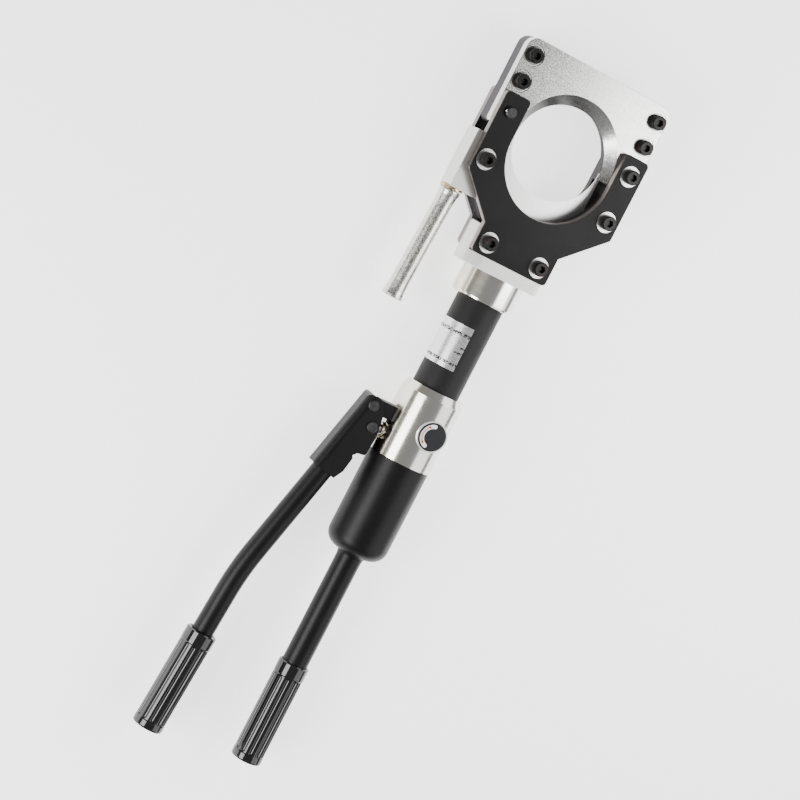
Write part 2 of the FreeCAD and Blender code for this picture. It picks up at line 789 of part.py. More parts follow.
LATCH_SLOT_PLAY = 1.3  # side play of the latch pin in the gate's slot
LEG_CORNER = 5.0  # rounded outer corners of the gate's feet
GATE_TIP_STAND_OUT = 2.0
LATCH_FRONT = 3.8  # how far the latch pin stands out of the front plate
LATCH_HEAD_GAP = 0.4
LATCH_KNOB_RADIUS = 8.5
LATCH_KNOB_THICKNESS = 6.0
LATCH_EDGE = 0.8  # chamfer of the latch pin and its knob
SPACER_FOOT_LEFT = 1.0  # flat that is left below the rounded foot of a spacer


def gate_outline():
    right = [(d.plate_half_width, d.gate_foot_y), (d.plate_half_width, d.gate_top_y)]
    return right + mirror_x(right)


def drill_gate(body, thick):
    """Holes that go through every layer of the gate."""
    screws = [
        (d.gate_screw_x * side, y, d.screw_hole_radius)
        for side in (-1, 1)
        for y in (d.gate_screw_low_y, d.gate_screw_high_y)
    ]
    pocket(body, thick, thick, circles=screws)
    pocket(body, thick, thick, circles=[(d.hinge_x, d.hinge_y, d.hinge_radius + d.running)])
    width = d.latch_radius + d.running
    slot = [
        (-d.hinge_x - width - LATCH_SLOT_PLAY, d.gate_foot_y - OPEN_END),
        (-d.hinge_x + width + LATCH_SLOT_PLAY, d.gate_foot_y - OPEN_END),
        (-d.hinge_x + width + LATCH_SLOT_PLAY, d.hinge_y),
        (-d.hinge_x - width - LATCH_SLOT_PLAY, d.hinge_y),
    ]
    pocket(body, thick, thick, circles=[(-d.hinge_x, d.hinge_y, width + LATCH_SLOT_PLAY)])
    pocket(body, thick, thick, polygons=[slot])
    return screws


def round_gate(body):
    top = [(d.plate_half_width * side, d.gate_top_y) for side in (-1, 1)]
    feet = [(d.plate_half_width * side, d.gate_foot_y) for side in (-1, 1)]
    dress(body, "Fillet", d.gate_corner, upright_at(*top))
    dress(body, "Fillet", LEG_CORNER, upright_at(*feet))


def cone_cut(body, low, low_z, high, high_z):
    """Cut a slanted cone between two circles; each circle is (centre y, radius)."""
    sketches = []
    for (y, radius), level in ((low, low_z), (high, high_z)):
        sketch = new_sketch(body, level)
        draw_circle(sketch, 0, y, radius)
        sketches.append(sketch)
    feature = body.newObject("PartDesign::SubtractiveLoft", "Bevel")
    feature.Profile = sketches[0]
    feature.Sections = [sketches[1]]
    doc.recompute()
    return feature


def fixed_blade():
    """Gate plate whose round edge, at its back face, is ground from the front."""
    body = new_body("fixed_blade")
    thick = d.fixed_blade_thickness
    pad(body, gate_outline(), thick)
    round_gate(body)
    dress(body, "Chamfer", SHEET_EDGE, at_level(thick))
    cone_cut(body, (d.fixed_edge_y, d.edge_radius), 0, (d.bevel_y, d.bevel_radius), thick)
    screws = drill_gate(body, thick)
    spots = [(x, y, d.spot_radius) for x, y, _ in screws]
    pocket(body, thick, d.gate_spot_depth, circles=spots)
    return place(body, 0, 0, d.axis_height + slot_front)


def gate_spacer(side):
    """Strip beside the moving blade's path; its inner foot is rounded to clear the blade."""
    body = new_body("Spacer")
    thick = d.slot_thickness
    inner = d.blade_half_width + d.play
    corners = [
        (inner, d.gate_foot_y),
        (d.plate_half_width, d.gate_foot_y),
        (d.plate_half_width, d.gate_top_y),
        (inner, d.gate_top_y),
    ]
    pad(body, corners if side > 0 else mirror_x(corners), thick)
    dress(body, "Fillet", d.gate_corner, upright_at((d.plate_half_width * side, d.gate_top_y)))
    dress(body, "Fillet", LEG_CORNER, upright_at((d.plate_half_width * side, d.gate_foot_y)))
    foot = d.hinge_y - d.gate_foot_y - SPACER_FOOT_LEFT
    dress(body, "Fillet", foot, upright_at((inner * side, d.gate_foot_y)))
    screws = [
        (d.gate_screw_x * side, y, d.screw_hole_radius)
        for y in (d.gate_screw_low_y, d.gate_screw_high_y)
    ]
    pocket(body, thick, thick, circles=screws)
    if side > 0:
        pocket(body, thick, thick, circles=[(d.hinge_x, d.hinge_y, d.hinge_radius + d.running)])
    else:
        half = d.latch_radius + d.running + LATCH_SLOT_PLAY
        slot = [
            (-d.hinge_x - half, d.gate_foot_y - OPEN_END),
            (-d.hinge_x + half, d.gate_foot_y - OPEN_END),
            (-d.hinge_x + half, d.hinge_y),
            (-d.hinge_x - half, d.hinge_y),
        ]
        pocket(body, thick, thick, circles=[(-d.hinge_x, d.hinge_y, half)])
        pocket(body, thick, thick, polygons=[slot])
    return place(body, 0, 0, d.axis_height + slot_back)


def gate_backing_plate():
    """Back layer of the gate, with a wide arch so that only the blade edges cut."""
    body = new_body("gate_backing_plate")
    thick = slot_back - gate_back
    pad(body, gate_outline(), thick)
    round_gate(body)
    arch = d.rear_opening_radius
    pocket(body, thick, thick, circles=[(0, d.fixed_edge_y, arch)])
    legs = [
        (-arch, d.gate_foot_y - OPEN_END),
        (arch, d.gate_foot_y - OPEN_END),
        (arch, d.fixed_edge_y),
        (-arch, d.fixed_edge_y),
    ]
    pocket(body, thick, thick, polygons=[legs])
    drill_gate(body, thick)
    return place(body, 0, 0, d.axis_height + gate_back)


def latch_pin():
    """Plain pin through both plates and the gate's left leg, pulled out at the back."""
    front = half_gap + d.plate_thickness + LATCH_FRONT
    back = -half_gap - d.plate_thickness - LATCH_HEAD_GAP
    radius = d.latch_radius
    profile = [
        (0, back),
        (radius, back),
        (radius, front - LATCH_EDGE),
        (radius - LATCH_EDGE, front),
        (0, front),
    ]
    pin = turned("latch_pin_body", profile, -d.hinge_x, d.hinge_y, d.axis_height, "Z")
    seat = ball(LATCH_BALL_RADIUS, *latch_ball_centre())
    return cut("latch_pin", pin, [seat])


def latch_ball_centre():
    """The sprung ball sits in the pin's left side, just in front of the front plate."""
    return (
        -d.hinge_x - d.latch_radius - BALL_STAND_OUT + LATCH_BALL_RADIUS,
        d.hinge_y,
        d.axis_height + half_gap + d.plate_thickness + LATCH_BALL_RADIUS + d.play,
    )


def latch_knob():
    """Flat knurled head at the back of the latch pin."""
    back = -half_gap - d.plate_thickness - LATCH_HEAD_GAP
    low = back - LATCH_KNOB_THICKNESS
    profile = ring_profile(0, LATCH_KNOB_RADIUS, low, back, LATCH_EDGE)
    return turned("latch_knob", profile, -d.hinge_x, d.hinge_y, d.axis_height, "Z")


gate_seat = gate_front - d.gate_spot_depth
gate_screw_length = gate_seat - gate_back + GATE_TIP_STAND_OUT
gate_pieces = [
    fixed_blade(),
    group("gate_spacers", [gate_spacer(side) for side in (-1, 1)]),
    gate_backing_plate(),
    group(
        "gate_screws",
        [
            cap_screw("gate_screw", gate_screw_length, d.gate_screw_x * side, y,
                      d.axis_height + gate_seat)
            for y in (d.gate_screw_low_y, d.gate_screw_high_y)
            for side in (-1, 1)
        ],
    ),
]
latch_ball = ball(LATCH_BALL_RADIUS, *latch_ball_centre())
latch_ball.Label = "latch_ball"
latch_pieces = [latch_pin(), latch_knob(), latch_ball]

# ---------------------------------------------------------------------------------------------
# Moving blade and ram
# ---------------------------------------------------------------------------------------------

BLADE_PIN_RADIUS = 3.0
BLADE_PIN_LENGTH = 18.0
BLADE_PIN_Y = 43.0
BLADE_FOOT_HALF_WIDTH = 32.0
BLADE_CORNER_Y = 50.0
SEAL_WIDTH = 4.0
SEAL_DEPTH = 2.5
RAM_BORE_TOP_Y = 20.0
RAM_EDGE = 1.0  # chamfer of the rod's top


def moving_blade():
    """Blade with a hollow round edge at its front face, ground from the back."""
    body = new_body("moving_blade")
    thick = d.slot_thickness - d.play * 2
    right = [
        (BLADE_FOOT_HALF_WIDTH, d.blade_foot_y),
        (d.blade_half_width, BLADE_CORNER_Y),
        (d.blade_half_width, d.blade_top_y),
    ]
    pad(body, right + mirror_x(right), thick)
    cone_cut(
        body,
        (d.moving_edge_y, d.moving_bevel_radius),
        0,
        (d.moving_edge_y, d.edge_radius),
        thick,
    )
    pocket(body, thick, thick, circles=[(0, BLADE_PIN_Y, BLADE_PIN_RADIUS)])
    return place(body, 0, 0, d.axis_height + slot_back + d.play)


def ram():
    """Piston and rod in one piece, slotted at the top for the blade, hollow for its spring."""
    piston = d.tube_bore_radius - d.running
    middle = (d.piston_top_y + d.piston_bottom_y) / 2
    seal_low = middle - SEAL_WIDTH / 2
    seal_high = middle + SEAL_WIDTH / 2
    profile = [
        (d.ram_bore_radius, d.piston_bottom_y),
        (piston, d.piston_bottom_y),
        (piston, seal_low),
        (piston - SEAL_DEPTH, seal_low),
        (piston - SEAL_DEPTH, seal_high),
        (piston, seal_high),
        (piston, d.piston_top_y),
        (d.ram_radius, d.piston_top_y),
        (d.ram_radius, d.ram_top_y - RAM_EDGE),
        (d.ram_radius - RAM_EDGE, d.ram_top_y),
        (0, d.ram_top_y),
        (0, RAM_BORE_TOP_Y),
        (d.ram_bore_radius, RAM_BORE_TOP_Y),
    ]
    rod = turned("ram_body", profile, z=d.axis_height)
    slot = block(
        (-d.ram_radius - OPEN_END, d.blade_foot_y, d.axis_height + slot_back + d.play),
        (d.ram_radius + OPEN_END, d.ram_top_y + OPEN_END, d.axis_height + slot_front - d.play),
    )
    hole = cylinder(BLADE_PIN_RADIUS, d.axis_height * 2, y=BLADE_PIN_Y)
    return cut("ram", rod, [slot, hole])


def piston_seal():
    piston = d.tube_bore_radius - d.running
    middle = (d.piston_top_y + d.piston_bottom_y) / 2
    low = middle - SEAL_WIDTH / 2
    high = middle + SEAL_WIDTH / 2
    return turned("piston_seal", ring_profile(piston - SEAL_DEPTH, piston, low, high), z=d.axis_height)


blade_pin = cylinder(
    BLADE_PIN_RADIUS,
    BLADE_PIN_LENGTH,
    y=BLADE_PIN_Y,
    z=d.axis_height - BLADE_PIN_LENGTH / 2,
)
blade_pin.Label = "blade_pin"
ram_pieces = [moving_blade(), ram(), piston_seal(), blade_pin]

# ---------------------------------------------------------------------------------------------
# Cylinder, valve body, reservoir and fixed handle
# ---------------------------------------------------------------------------------------------

GLAND_LENGTH = 12.0
LABEL_THICKNESS = 0.15
LABEL_SWEEP = 120.0  # degrees that the label wraps round the tube
LABEL_START = 5.0  # degrees from the front, to the left, where it starts
SHELL_SPIGOT = 10.0  # the valve body reaches this far into the shell
PLUNGER_BORE_END = -6.0
GLAND_RADIUS = 7.5
GLAND_INNER_X = -20.0
GLAND_OUTER_X = -31.0
KNOB_SEAT_Z = 19.0
KNOB_RING_TOP_Z = 30.0
KNOB_TOP_Z = 31.2
KNOB_EDGE = 0.5  # chamfer of the knob and its ring
NEEDLE_CONE = 3.0  # length of the needle's cone
NEEDLE_RADIUS = 3.0
NEEDLE_TIP_Z = 4.0
BALL_CHAMBER_RADIUS = 3.2
BALL_CHAMBER_LENGTH = 12.0
CHANNEL_RADIUS = 1.8
DELIVERY_SEAT_Y = -150.0
SUCTION_SEAT_Y = -195.0
BALL_SEAT_GAP = 0.2
CARTRIDGE_RADIUS = 6.0
CARTRIDGE_Y = -150.0
CARTRIDGE_LENGTH = 16.0
CARTRIDGE_SINK = 1.5  # how far the cartridge lies below the mouth of its bore
TUBE_EDGE = 0.6  # chamfer of the cylinder tube's top
LUG_INNER_X = -20.0
ROUND_STEPS = 16  # straight steps of each curve in the shell's profile
GRIP_END = 3.0  # thickness of a grip's closed end
RIB_COUNT = 12
GROOVE_INSET = 2.0
GROOVE_OUT = 1.1  # how far a groove's centre line lies outside the ribs
GRIP_RING_STEP = 1.0  # length of the step from a ring to the ribs
GRIP_MOUTH = 3.0  # depth of the slanted mouth round the tube
# Ends of a grip: radius against the ring's, height against that end.
GRIP_FOOT = ((-2.2, 0.0), (-0.6, 0.6), (0.0, 2.0))
GRIP_RIM = ((0.0, -1.0), (-0.9, 0.0), (-1.8, 0.0))
# Section of the bladder: radius and height against its top, outside downwards, inside upwards.
BLADDER_SECTION = (
    (8.0, 0.0),
    (10.0, 0.0),
    (23.0, -8.0),
    (23.0, -44.0),
    (15.0, -54.0),
    (0.0, -56.0),
    (0.0, -54.0),
    (14.0, -52.0),
    (21.0, -43.0),
    (21.0, -9.0),
    (8.0, -2.0),
)
SPRING_RADIUS = 4.6
SPRING_WIRE_RADIUS = 0.8
SPRING_LENGTH = 120.0
SPRING_TURNS = 20
SPRING_END = 4.0


def cylinder_tube():
    outer = d.tube_radius
    middle = d.tube_top_y - RING_DEPTH
    half = RING_WIDTH / 2 + number(d.play)
    profile = [
        (d.tube_bore_radius, d.tube_bottom_y),
        (outer, d.tube_bottom_y),
        (outer, middle - half),
        (outer - TUBE_GROOVE_DEPTH, middle - half),
        (outer - TUBE_GROOVE_DEPTH, middle + half),
        (outer, middle + half),
        (outer, d.tube_top_y - TUBE_EDGE),
        (outer - TUBE_EDGE, d.tube_top_y),
        (d.tube_bore_radius, d.tube_top_y),
    ]
    return turned("cylinder_tube", profile, z=d.axis_height)


def cylinder_gland():
    """Screwed-in bush that closes the cylinder round the ram."""
    profile = ring_profile(
        d.ram_radius + d.running, d.tube_bore_radius, d.tube_top_y - GLAND_LENGTH, d.tube_top_y
    )
    return turned("cylinder_gland", profile, z=d.axis_height)


def cylinder_label():
    """Foil label that wraps round the left of the tube."""
    low = d.label_top_y - d.label_length
    turn = ALONG["Y"].multiply(Rotation(Vector(0, 0, 1), -90 - LABEL_START - LABEL_SWEEP))
    shells = []
    for radius in (d.tube_radius + LABEL_THICKNESS, d.tube_radius):
        shell = doc.addObject("Part::Cylinder", "Foil")
        bind(shell, "Radius", radius)
        bind(shell, "Height", d.label_length)
        shell.Angle = LABEL_SWEEP
        place(shell, 0, low, d.axis_height, turn)
        shells.append(shell)
    return cut("cylinder_label", shells[0], [shells[1]])


def valve_body():
    """Polished body that holds the pump, the valves and both ends of the hydraulic circuit."""
    spigot = d.shell_radius - d.shell_wall
    profile = [
        (0, d.valve_bottom_y - SHELL_SPIGOT),
        (spigot, d.valve_bottom_y - SHELL_SPIGOT),
        (spigot, d.valve_bottom_y),
        (d.valve_radius, d.valve_bottom_y),
        (d.valve_radius, d.valve_cone_y),
        (d.valve_top_radius, d.valve_top_y),
        (d.tube_radius, d.valve_top_y),
        (d.tube_radius, d.tube_bottom_y),
        (0, d.tube_bottom_y),
    ]
    base = turned("valve_turning", profile, z=d.axis_height)
    plunger_bore = cylinder(
        d.plunger_radius + d.running,
        d.valve_radius + OPEN_END + PLUNGER_BORE_END,
        x=-d.valve_radius - OPEN_END,
        y=d.plunger_y,
        z=d.axis_height,
        along="X",
    )
    gland_seat = cylinder(
        GLAND_RADIUS,
        d.valve_radius + OPEN_END + GLAND_INNER_X,
        x=-d.valve_radius - OPEN_END,
        y=d.plunger_y,
        z=d.axis_height,
        along="X",
    )
    knob_seat = cylinder(
        d.knob_ring_radius, OPEN_END * 2, x=d.knob_x, y=d.knob_y, z=d.axis_height + KNOB_SEAT_Z
    )
    needle_bore = cylinder(
        NEEDLE_RADIUS + d.running,
        KNOB_SEAT_Z,
        x=d.knob_x,
        y=d.knob_y,
        z=d.axis_height + NEEDLE_TIP_Z - 1,
    )
    channel = cylinder(
        CHANNEL_RADIUS,
        d.tube_bottom_y - d.valve_bottom_y + SHELL_SPIGOT,
        x=d.valve_channel_x,
        y=d.valve_bottom_y - SHELL_SPIGOT,
        z=d.axis_height,
        along="Y",
    )
    chambers = [
        cylinder(
            BALL_CHAMBER_RADIUS,
            BALL_CHAMBER_LENGTH,
            x=d.valve_channel_x,
            y=seat,
            z=d.axis_height,
            along="Y",
        )
        for seat in (DELIVERY_SEAT_Y, SUCTION_SEAT_Y)
    ]
    cartridge_bore = cylinder(
        CARTRIDGE_RADIUS,
        CARTRIDGE_LENGTH + OPEN_END,
        x=d.valve_radius - CARTRIDGE_LENGTH,
        y=CARTRIDGE_Y,
        z=d.axis_height,
        along="X",
    )
    lug_seat = block(
        (-d.valve_radius - OPEN_END, d.fulcrum_y - d.lug_bottom, d.axis_height - d.lug_half_width),
        (LUG_INNER_X, d.fulcrum_y + d.lug_top, d.axis_height + d.lug_half_width),
    )
    tools = [plunger_bore, gland_seat, knob_seat, needle_bore, channel, *chambers]
    return cut("valve_body", base, [*tools, cartridge_bore, lug_seat])


def fulcrum_lug():
    """Lug let into the valve body; its narrow end, inside the fork, carries the fulcrum pin."""
    arm = block(
        (d.fulcrum_x + d.lug_shoulder_x, d.fulcrum_y - d.lug_bottom, d.axis_height - d.lug_half_width),
        (LUG_INNER_X, d.fulcrum_y + d.lug_top, d.axis_height + d.lug_half_width),
    )
    tongue = block(
        (d.fulcrum_x, d.fulcrum_y - d.lug_radius, d.axis_height - d.lug_tongue_half_width),
        (LUG_INNER_X, d.fulcrum_y + d.lug_radius, d.axis_height + d.lug_tongue_half_width),
    )
    end = cylinder(
        d.lug_radius,
        d.lug_tongue_half_width * 2,
        x=d.fulcrum_x,
        y=d.fulcrum_y,
        z=d.axis_height - d.lug_tongue_half_width,
    )
    hole = cylinder(d.pin_radius + d.running, d.axis_height * 2, x=d.fulcrum_x, y=d.fulcrum_y)
    return cut("fulcrum_lug", joined([arm, tongue, end], "lug_body"), [hole])


def quarter(centre, across, along, start, end):
    """Points of a quarter ellipse about a centre, from one angle to another, in degrees."""
    angles = [math.radians(start + (end - start) * step / ROUND_STEPS) for step in range(ROUND_STEPS + 1)]
    return [(centre[0] + across * math.cos(a), centre[1] + along * math.sin(a)) for a in angles]


def reservoir_shell():
    """Deep-drawn shell: a straight sleeve, a rounded shoulder and a short neck."""
    wall = d.shell_wall
    round_radius = d.shell_round_radius
    neck = d.handle_tube_radius
    shoulder = d.shell_radius - round_radius
    shoulder_y = d.shell_round_y - round_radius
    fillet = shoulder - neck
    fillet_y = shoulder_y - d.shell_fillet
    outer = quarter((shoulder, d.shell_round_y), round_radius, round_radius, 0, -90)
    hollow = quarter((shoulder, fillet_y), fillet, d.shell_fillet, 90, 180)
    inner = quarter((shoulder, d.shell_round_y), round_radius - wall, round_radius - wall, -90, 0)
    profile = [(d.shell_radius, d.valve_bottom_y), *outer, *hollow[1:], (neck, d.shell_neck_y)]
    profile += [(neck - d.handle_tube_wall, d.shell_neck_y), (neck - d.handle_tube_wall, shoulder_y + wall)]
    profile += [*inner, (d.shell_radius - wall, d.valve_bottom_y)]
    return turned("reservoir_shell", profile, z=d.axis_height)


def grip_profile(core, top, bottom):
    """Profile of a grip between two heights; its rim stands clear of the tube at the top."""
    ring = d.grip_ring_radius
    rib = d.grip_radius
    upper = top - d.grip_top_ring
    lower = bottom + d.grip_bottom_ring
    return [
        (0, bottom),
        *((ring + out, bottom + rise) for out, rise in GRIP_FOOT),
        (ring, lower - GRIP_RING_STEP),
        (rib, lower),
        (rib, upper),
        (ring, upper + GRIP_RING_STEP),
        *((ring + out, top + rise) for out, rise in GRIP_RIM),
        (core, top - GRIP_MOUTH),
        (core, bottom + GRIP_END),
        (0, bottom + GRIP_END),
    ]


def grip(label, core, top):
    """Moulded grip: a sleeve with a closed end, and grooves between straight ribs."""
    bottom = top - d.grip_length
    sleeve = turned(f"{label}_sleeve", grip_profile(core, top, bottom))
    low = bottom + d.grip_bottom_ring + GROOVE_INSET
    high = top - d.grip_top_ring - GROOVE_INSET
    grooves = []
    for index in range(RIB_COUNT):
        angle = 2 * math.pi * (index + 0.5) / RIB_COUNT
        out = d.grip_radius + GROOVE_OUT
        x = out * math.cos(angle)
        z = out * math.sin(angle)
        grooves.append(cylinder(d.groove_radius, high - low, x, low, z, "Y"))
        grooves += [ball(d.groove_radius, x, level, z) for level in (low, high)]
    return cut(label, sleeve, grooves)


def oil_bladder():
    """Rubber bag in the shell; its neck hangs from the valve body."""
    top = d.valve_bottom_y - SHELL_SPIGOT
    profile = [(radius, top + rise) for radius, rise in BLADDER_SECTION]
    return turned("oil_bladder", profile, z=d.axis_height)


def plunger_gland():
    profile = ring_profile(d.plunger_radius + d.running, GLAND_RADIUS, GLAND_OUTER_X, GLAND_INNER_X, 0.6)
    return turned("plunger_gland", profile, y=d.plunger_y, z=d.axis_height, along="X")


def knob_ring():
    profile = [
        (d.knob_radius + d.play, KNOB_SEAT_Z),
        (d.knob_ring_radius, KNOB_SEAT_Z),
        (d.knob_ring_radius, KNOB_RING_TOP_Z - KNOB_EDGE),
        (d.knob_ring_radius - KNOB_EDGE, KNOB_RING_TOP_Z),
        (d.knob_radius + d.play, KNOB_RING_TOP_Z),
    ]
    return turned("knob_ring", profile, d.knob_x, d.knob_y, d.axis_height, "Z")


def release_knob():
    """Knob with its needle; the needle's cone closes the return channel."""
    profile = [
        (0, NEEDLE_TIP_Z),
        (NEEDLE_RADIUS, NEEDLE_TIP_Z + NEEDLE_CONE),
        (NEEDLE_RADIUS, KNOB_SEAT_Z + d.play),
        (d.knob_radius, KNOB_SEAT_Z + d.play),
        (d.knob_radius, KNOB_TOP_Z - KNOB_EDGE),
        (d.knob_radius - KNOB_EDGE, KNOB_TOP_Z),
        (0, KNOB_TOP_Z),
    ]
    return turned("release_knob", profile, d.knob_x, d.knob_y, d.axis_height, "Z")


def return_spring():
    """Tension spring between the bottom of the cylinder and the ram."""
    helix = doc.addObject("Part::Helix", "SpringLine")
    helix.Radius = SPRING_RADIUS
    helix.Height = SPRING_LENGTH
    helix.Pitch = SPRING_LENGTH / SPRING_TURNS
    section = doc.addObject("Part::Circle", "SpringWire")
    section.Radius = SPRING_WIRE_RADIUS
    section.Placement = Placement(Vector(SPRING_RADIUS, 0, 0), Rotation(Vector(1, 0, 0), 90))
    spring = doc.addObject("Part::Sweep", "return_spring")
    spring.Sections = [section]
    spring.Spine = helix
    spring.Solid = True
    spring.Frenet = True
    spring.Label = "return_spring"
    return place(spring, 0, d.tube_bottom_y + SPRING_END, d.axis_height, ALONG["Y"])


handle_tube = turned(
    "handle_tube",
    ring_profile(
        d.handle_tube_radius - d.handle_tube_wall,
        d.handle_tube_radius,
        d.grip_top_y - d.grip_length + GRIP_END,
        d.shell_neck_y,
    ),
    z=d.axis_height,
)
fixed_grip = grip("fixed_grip", d.handle_tube_radius, d.grip_length / 2)
place(fixed_grip, 0, d.grip_top_y - d.grip_length / 2, d.axis_height)
relief_cartridge = turned(
    "relief_cartridge",
    ring_profile(0, CARTRIDGE_RADIUS, 0, CARTRIDGE_LENGTH - CARTRIDGE_SINK, edge=0.5),
    d.valve_radius - CARTRIDGE_LENGTH,
    CARTRIDGE_Y,
    d.axis_height,
    "X",
)
pump_pieces = [
    valve_body(),
    cylinder_tube(),
    cylinder_gland(),
    cylinder_label(),
    reservoir_shell(),
    handle_tube,
    fixed_grip,
    oil_bladder(),
    fulcrum_lug(),
    plunger_gland(),
    knob_ring(),
    release_knob(),
    relief_cartridge,
    return_spring(),
]
for label, seat in (("delivery_ball", DELIVERY_SEAT_Y), ("suction_ball", SUCTION_SEAT_Y)):
    valve_ball = ball(
        d.ball_radius,
        d.valve_channel_x,
        d.ball_radius + seat + BALL_SEAT_GAP,
        d.axis_height,
    )
    valve_ball.Label = label
    pump_pieces.append(valve_ball)

# ---------------------------------------------------------------------------------------------
# Lever and plunger
# ---------------------------------------------------------------------------------------------
# The lever's pieces are made in its own frame: the fulcrum is the origin, and -Y runs down the
# upper part of the lever tube. One placement puts them all where they belong.

PIN_DROP = -0.25  # middle of the plunger pin's travel, against the plunger's axis
PIN_HEAD_RADIUS = 4.9
PIN_HEAD_HEIGHT = 1.6
PIN_EDGE = 0.5  # broken edges of the cross pins
PIN_TAIL = 1.0  # how far a pin stands out past its clip
CLIP_THICKNESS = 1.0
CLIP_RIM = 2.0  # how far a clip stands out round its pin
FORK_REACH = 40.0  # how far the channel's cheeks run before they are trimmed
FORK_TOP_CORNER = 5.0
FORK_SHOULDER = 4.5  # rounded corner beside the valve body
FORK_CORNER = 1.2
FORK_FOOT_X = 14.0
FORK_LIP = ((17.0, 10.0), (16.2, 24.0), (14.2, 26.0), (16.5, 30.0), (23.0, 32.5), (23.3, 35.0))
FORK_FRONT = ((20.6, -19.5), (13.7, -3.0))
FORK_TOP_X = 6.0
EYE_HALF_HEIGHT = 6.8
EYE_HALF_WIDTH = 7.5
EYE_PLAY = 0.45
EYE_RISE = 1.6  # half the pin's travel across the plunger
PLUNGER_TRAVEL_GAP = 2.5


lever_turn = Rotation(Vector(0, 0, 1), -number(d.lever_angle))


def lever_spot(x, y, z=0):
    """Where a point of the lever's own frame lies on the tool."""
    swung = lever_turn.multVec(Vector(number(x), number(y), 0))
    return d.fulcrum_x + swung.x, d.fulcrum_y + swung.y, d.axis_height + z


def on_lever(thing):
    return place(thing, *lever_spot(0, 0), lever_turn)


def fork_outline():
    """Side view of the fork; its right edge carries the two pins and then steps in."""
    left = -d.fork_back
    low = d.fork_top - d.fork_length
    return [
        (left, low),
        (FORK_FOOT_X, low),
        *((x, low + rise) for x, rise in FORK_LIP),
        *FORK_FRONT,
        (FORK_TOP_X, d.fork_top),
        (left, d.fork_top),
    ]


def channel(inset):
    """Solid inside the sheet of the fork, or its outside where the inset is 0; open on the right."""
    body = new_body("fork_channel")
    back = -d.fork_back + inset
    half = d.fork_half_width - inset
    length = d.fork_length + OPEN_END * 2
    pad(body, [(back, -half), (FORK_REACH, -half), (FORK_REACH, half), (back, half)], length)
    dress(body, "Fillet", d.fork_bend_radius - inset, upright_at((back, -half), (back, half)))
    return place(body, 0, d.fork_top + OPEN_END, 0, Rotation(Vector(1, 0, 0), 90))


def lever_fork():
    """Sheet steel channel: two cheeks joined by a back with rounded bends."""
    half = d.fork_half_width
    side = new_body("fork_side")
    pad(side, fork_outline(), half * 2)
    corners = fork_outline()
    top_left = corners[-1]
    top_right = corners[-2]
    lip = [corners[2], *corners[6:8], corners[-3]]
    dress(side, "Fillet", FORK_TOP_CORNER, upright_at(top_left))
    dress(side, "Fillet", FORK_SHOULDER, upright_at(top_right))
    dress(side, "Fillet", FORK_CORNER, upright_at(*lip))
    place(side, 0, 0, -half)
    trimmed = doc.addObject("Part::Common", "fork_trimmed")
    trimmed.Base = channel(0)
    trimmed.Tool = side
    holes = [
        cylinder(d.pin_radius, half * 2, z=-half),
        cylinder(d.plunger_pin_radius, half * 2, d.plunger_pin_x, d.plunger_pin_y, -half),
    ]
    return on_lever(cut("lever_fork", trimmed, [channel(d.fork_wall), *holes]))


def lever_tube():
    """Bent tube: a straight leg in the fork, one bend and a straight leg in the grip."""
    turn = math.radians(number(d.lever_bend_angle))
    setback = number(d.lever_bend_radius) * math.tan(turn / 2)
    bend = Vector(number(d.lever_axis_x), -number(d.lever_bend), 0)
    down = Vector(0, -1, 0)
    outwards = Vector(math.sin(turn), -math.cos(turn), 0)
    halfway = Vector(math.sin(turn / 2), -math.cos(turn / 2), 0)
    start = Vector(bend.x, -number(d.lever_tube_top), 0)
    leg = number(d.lever_leg) - GRIP_END
    arc_start = bend - down * setback
    arc_end = bend + outwards * setback
    centre = arc_start + Vector(number(d.lever_bend_radius), 0, 0)
    inward = Vector(-math.cos(turn / 2), -math.sin(turn / 2), 0)
    arc_middle = centre + inward * number(d.lever_bend_radius)
    path = Part.Wire(
        [
            Part.LineSegment(start, arc_start).toShape(),
            Part.Arc(arc_start, arc_middle, arc_end).toShape(),
            Part.LineSegment(arc_end, bend + outwards * leg).toShape(),
        ]
    )
    outer = number(d.lever_tube_radius)
    skins = []
    for radius in (outer, outer - number(d.lever_tube_wall)):
        section = Part.Wire([Part.Circle(start, down, radius).toShape()])
        skins.append(path.makePipeShell([section], True, False))
    tube = doc.addObject("Part::Feature", "lever_tube")
    tube.Label = "lever_tube"
    tube.Shape = skins[0].cut(skins[1])
    return on_lever(tube)


def lever_grip():
    """The same grip as the fixed one, on the lever's lower leg."""
    thing = grip("lever_grip", d.lever_tube_radius, d.grip_length / 2)
    turn = number(d.lever_bend_angle) - number(d.lever_angle)
    along = math.radians(number(d.lever_bend_angle))
    middle = number(d.lever_leg) - number(d.grip_length) / 2
    x = number(d.lever_axis_x) + middle * math.sin(along)
    y = -number(d.lever_bend) - middle * math.cos(along)
    return place(thing, *lever_spot(x, y), Rotation(Vector(0, 0, 1), turn))


def cross_pin(label, radius, x, y):
    """Headed pin across the fork, with room for a clip at its back end."""
    outer = d.fork_half_width
    tail = -outer - CLIP_THICKNESS - PIN_TAIL
    profile = [
        (0, tail),
        (radius - PIN_EDGE, tail),
        (radius, tail + PIN_EDGE),
        (radius, outer),
        (PIN_HEAD_RADIUS, outer),
        (PIN_HEAD_RADIUS, outer + PIN_HEAD_HEIGHT - PIN_EDGE),
        (PIN_HEAD_RADIUS - PIN_EDGE, outer + PIN_HEAD_HEIGHT),
        (0, outer + PIN_HEAD_HEIGHT),
    ]
    return turned(label, profile, *lever_spot(x, y), "Z")


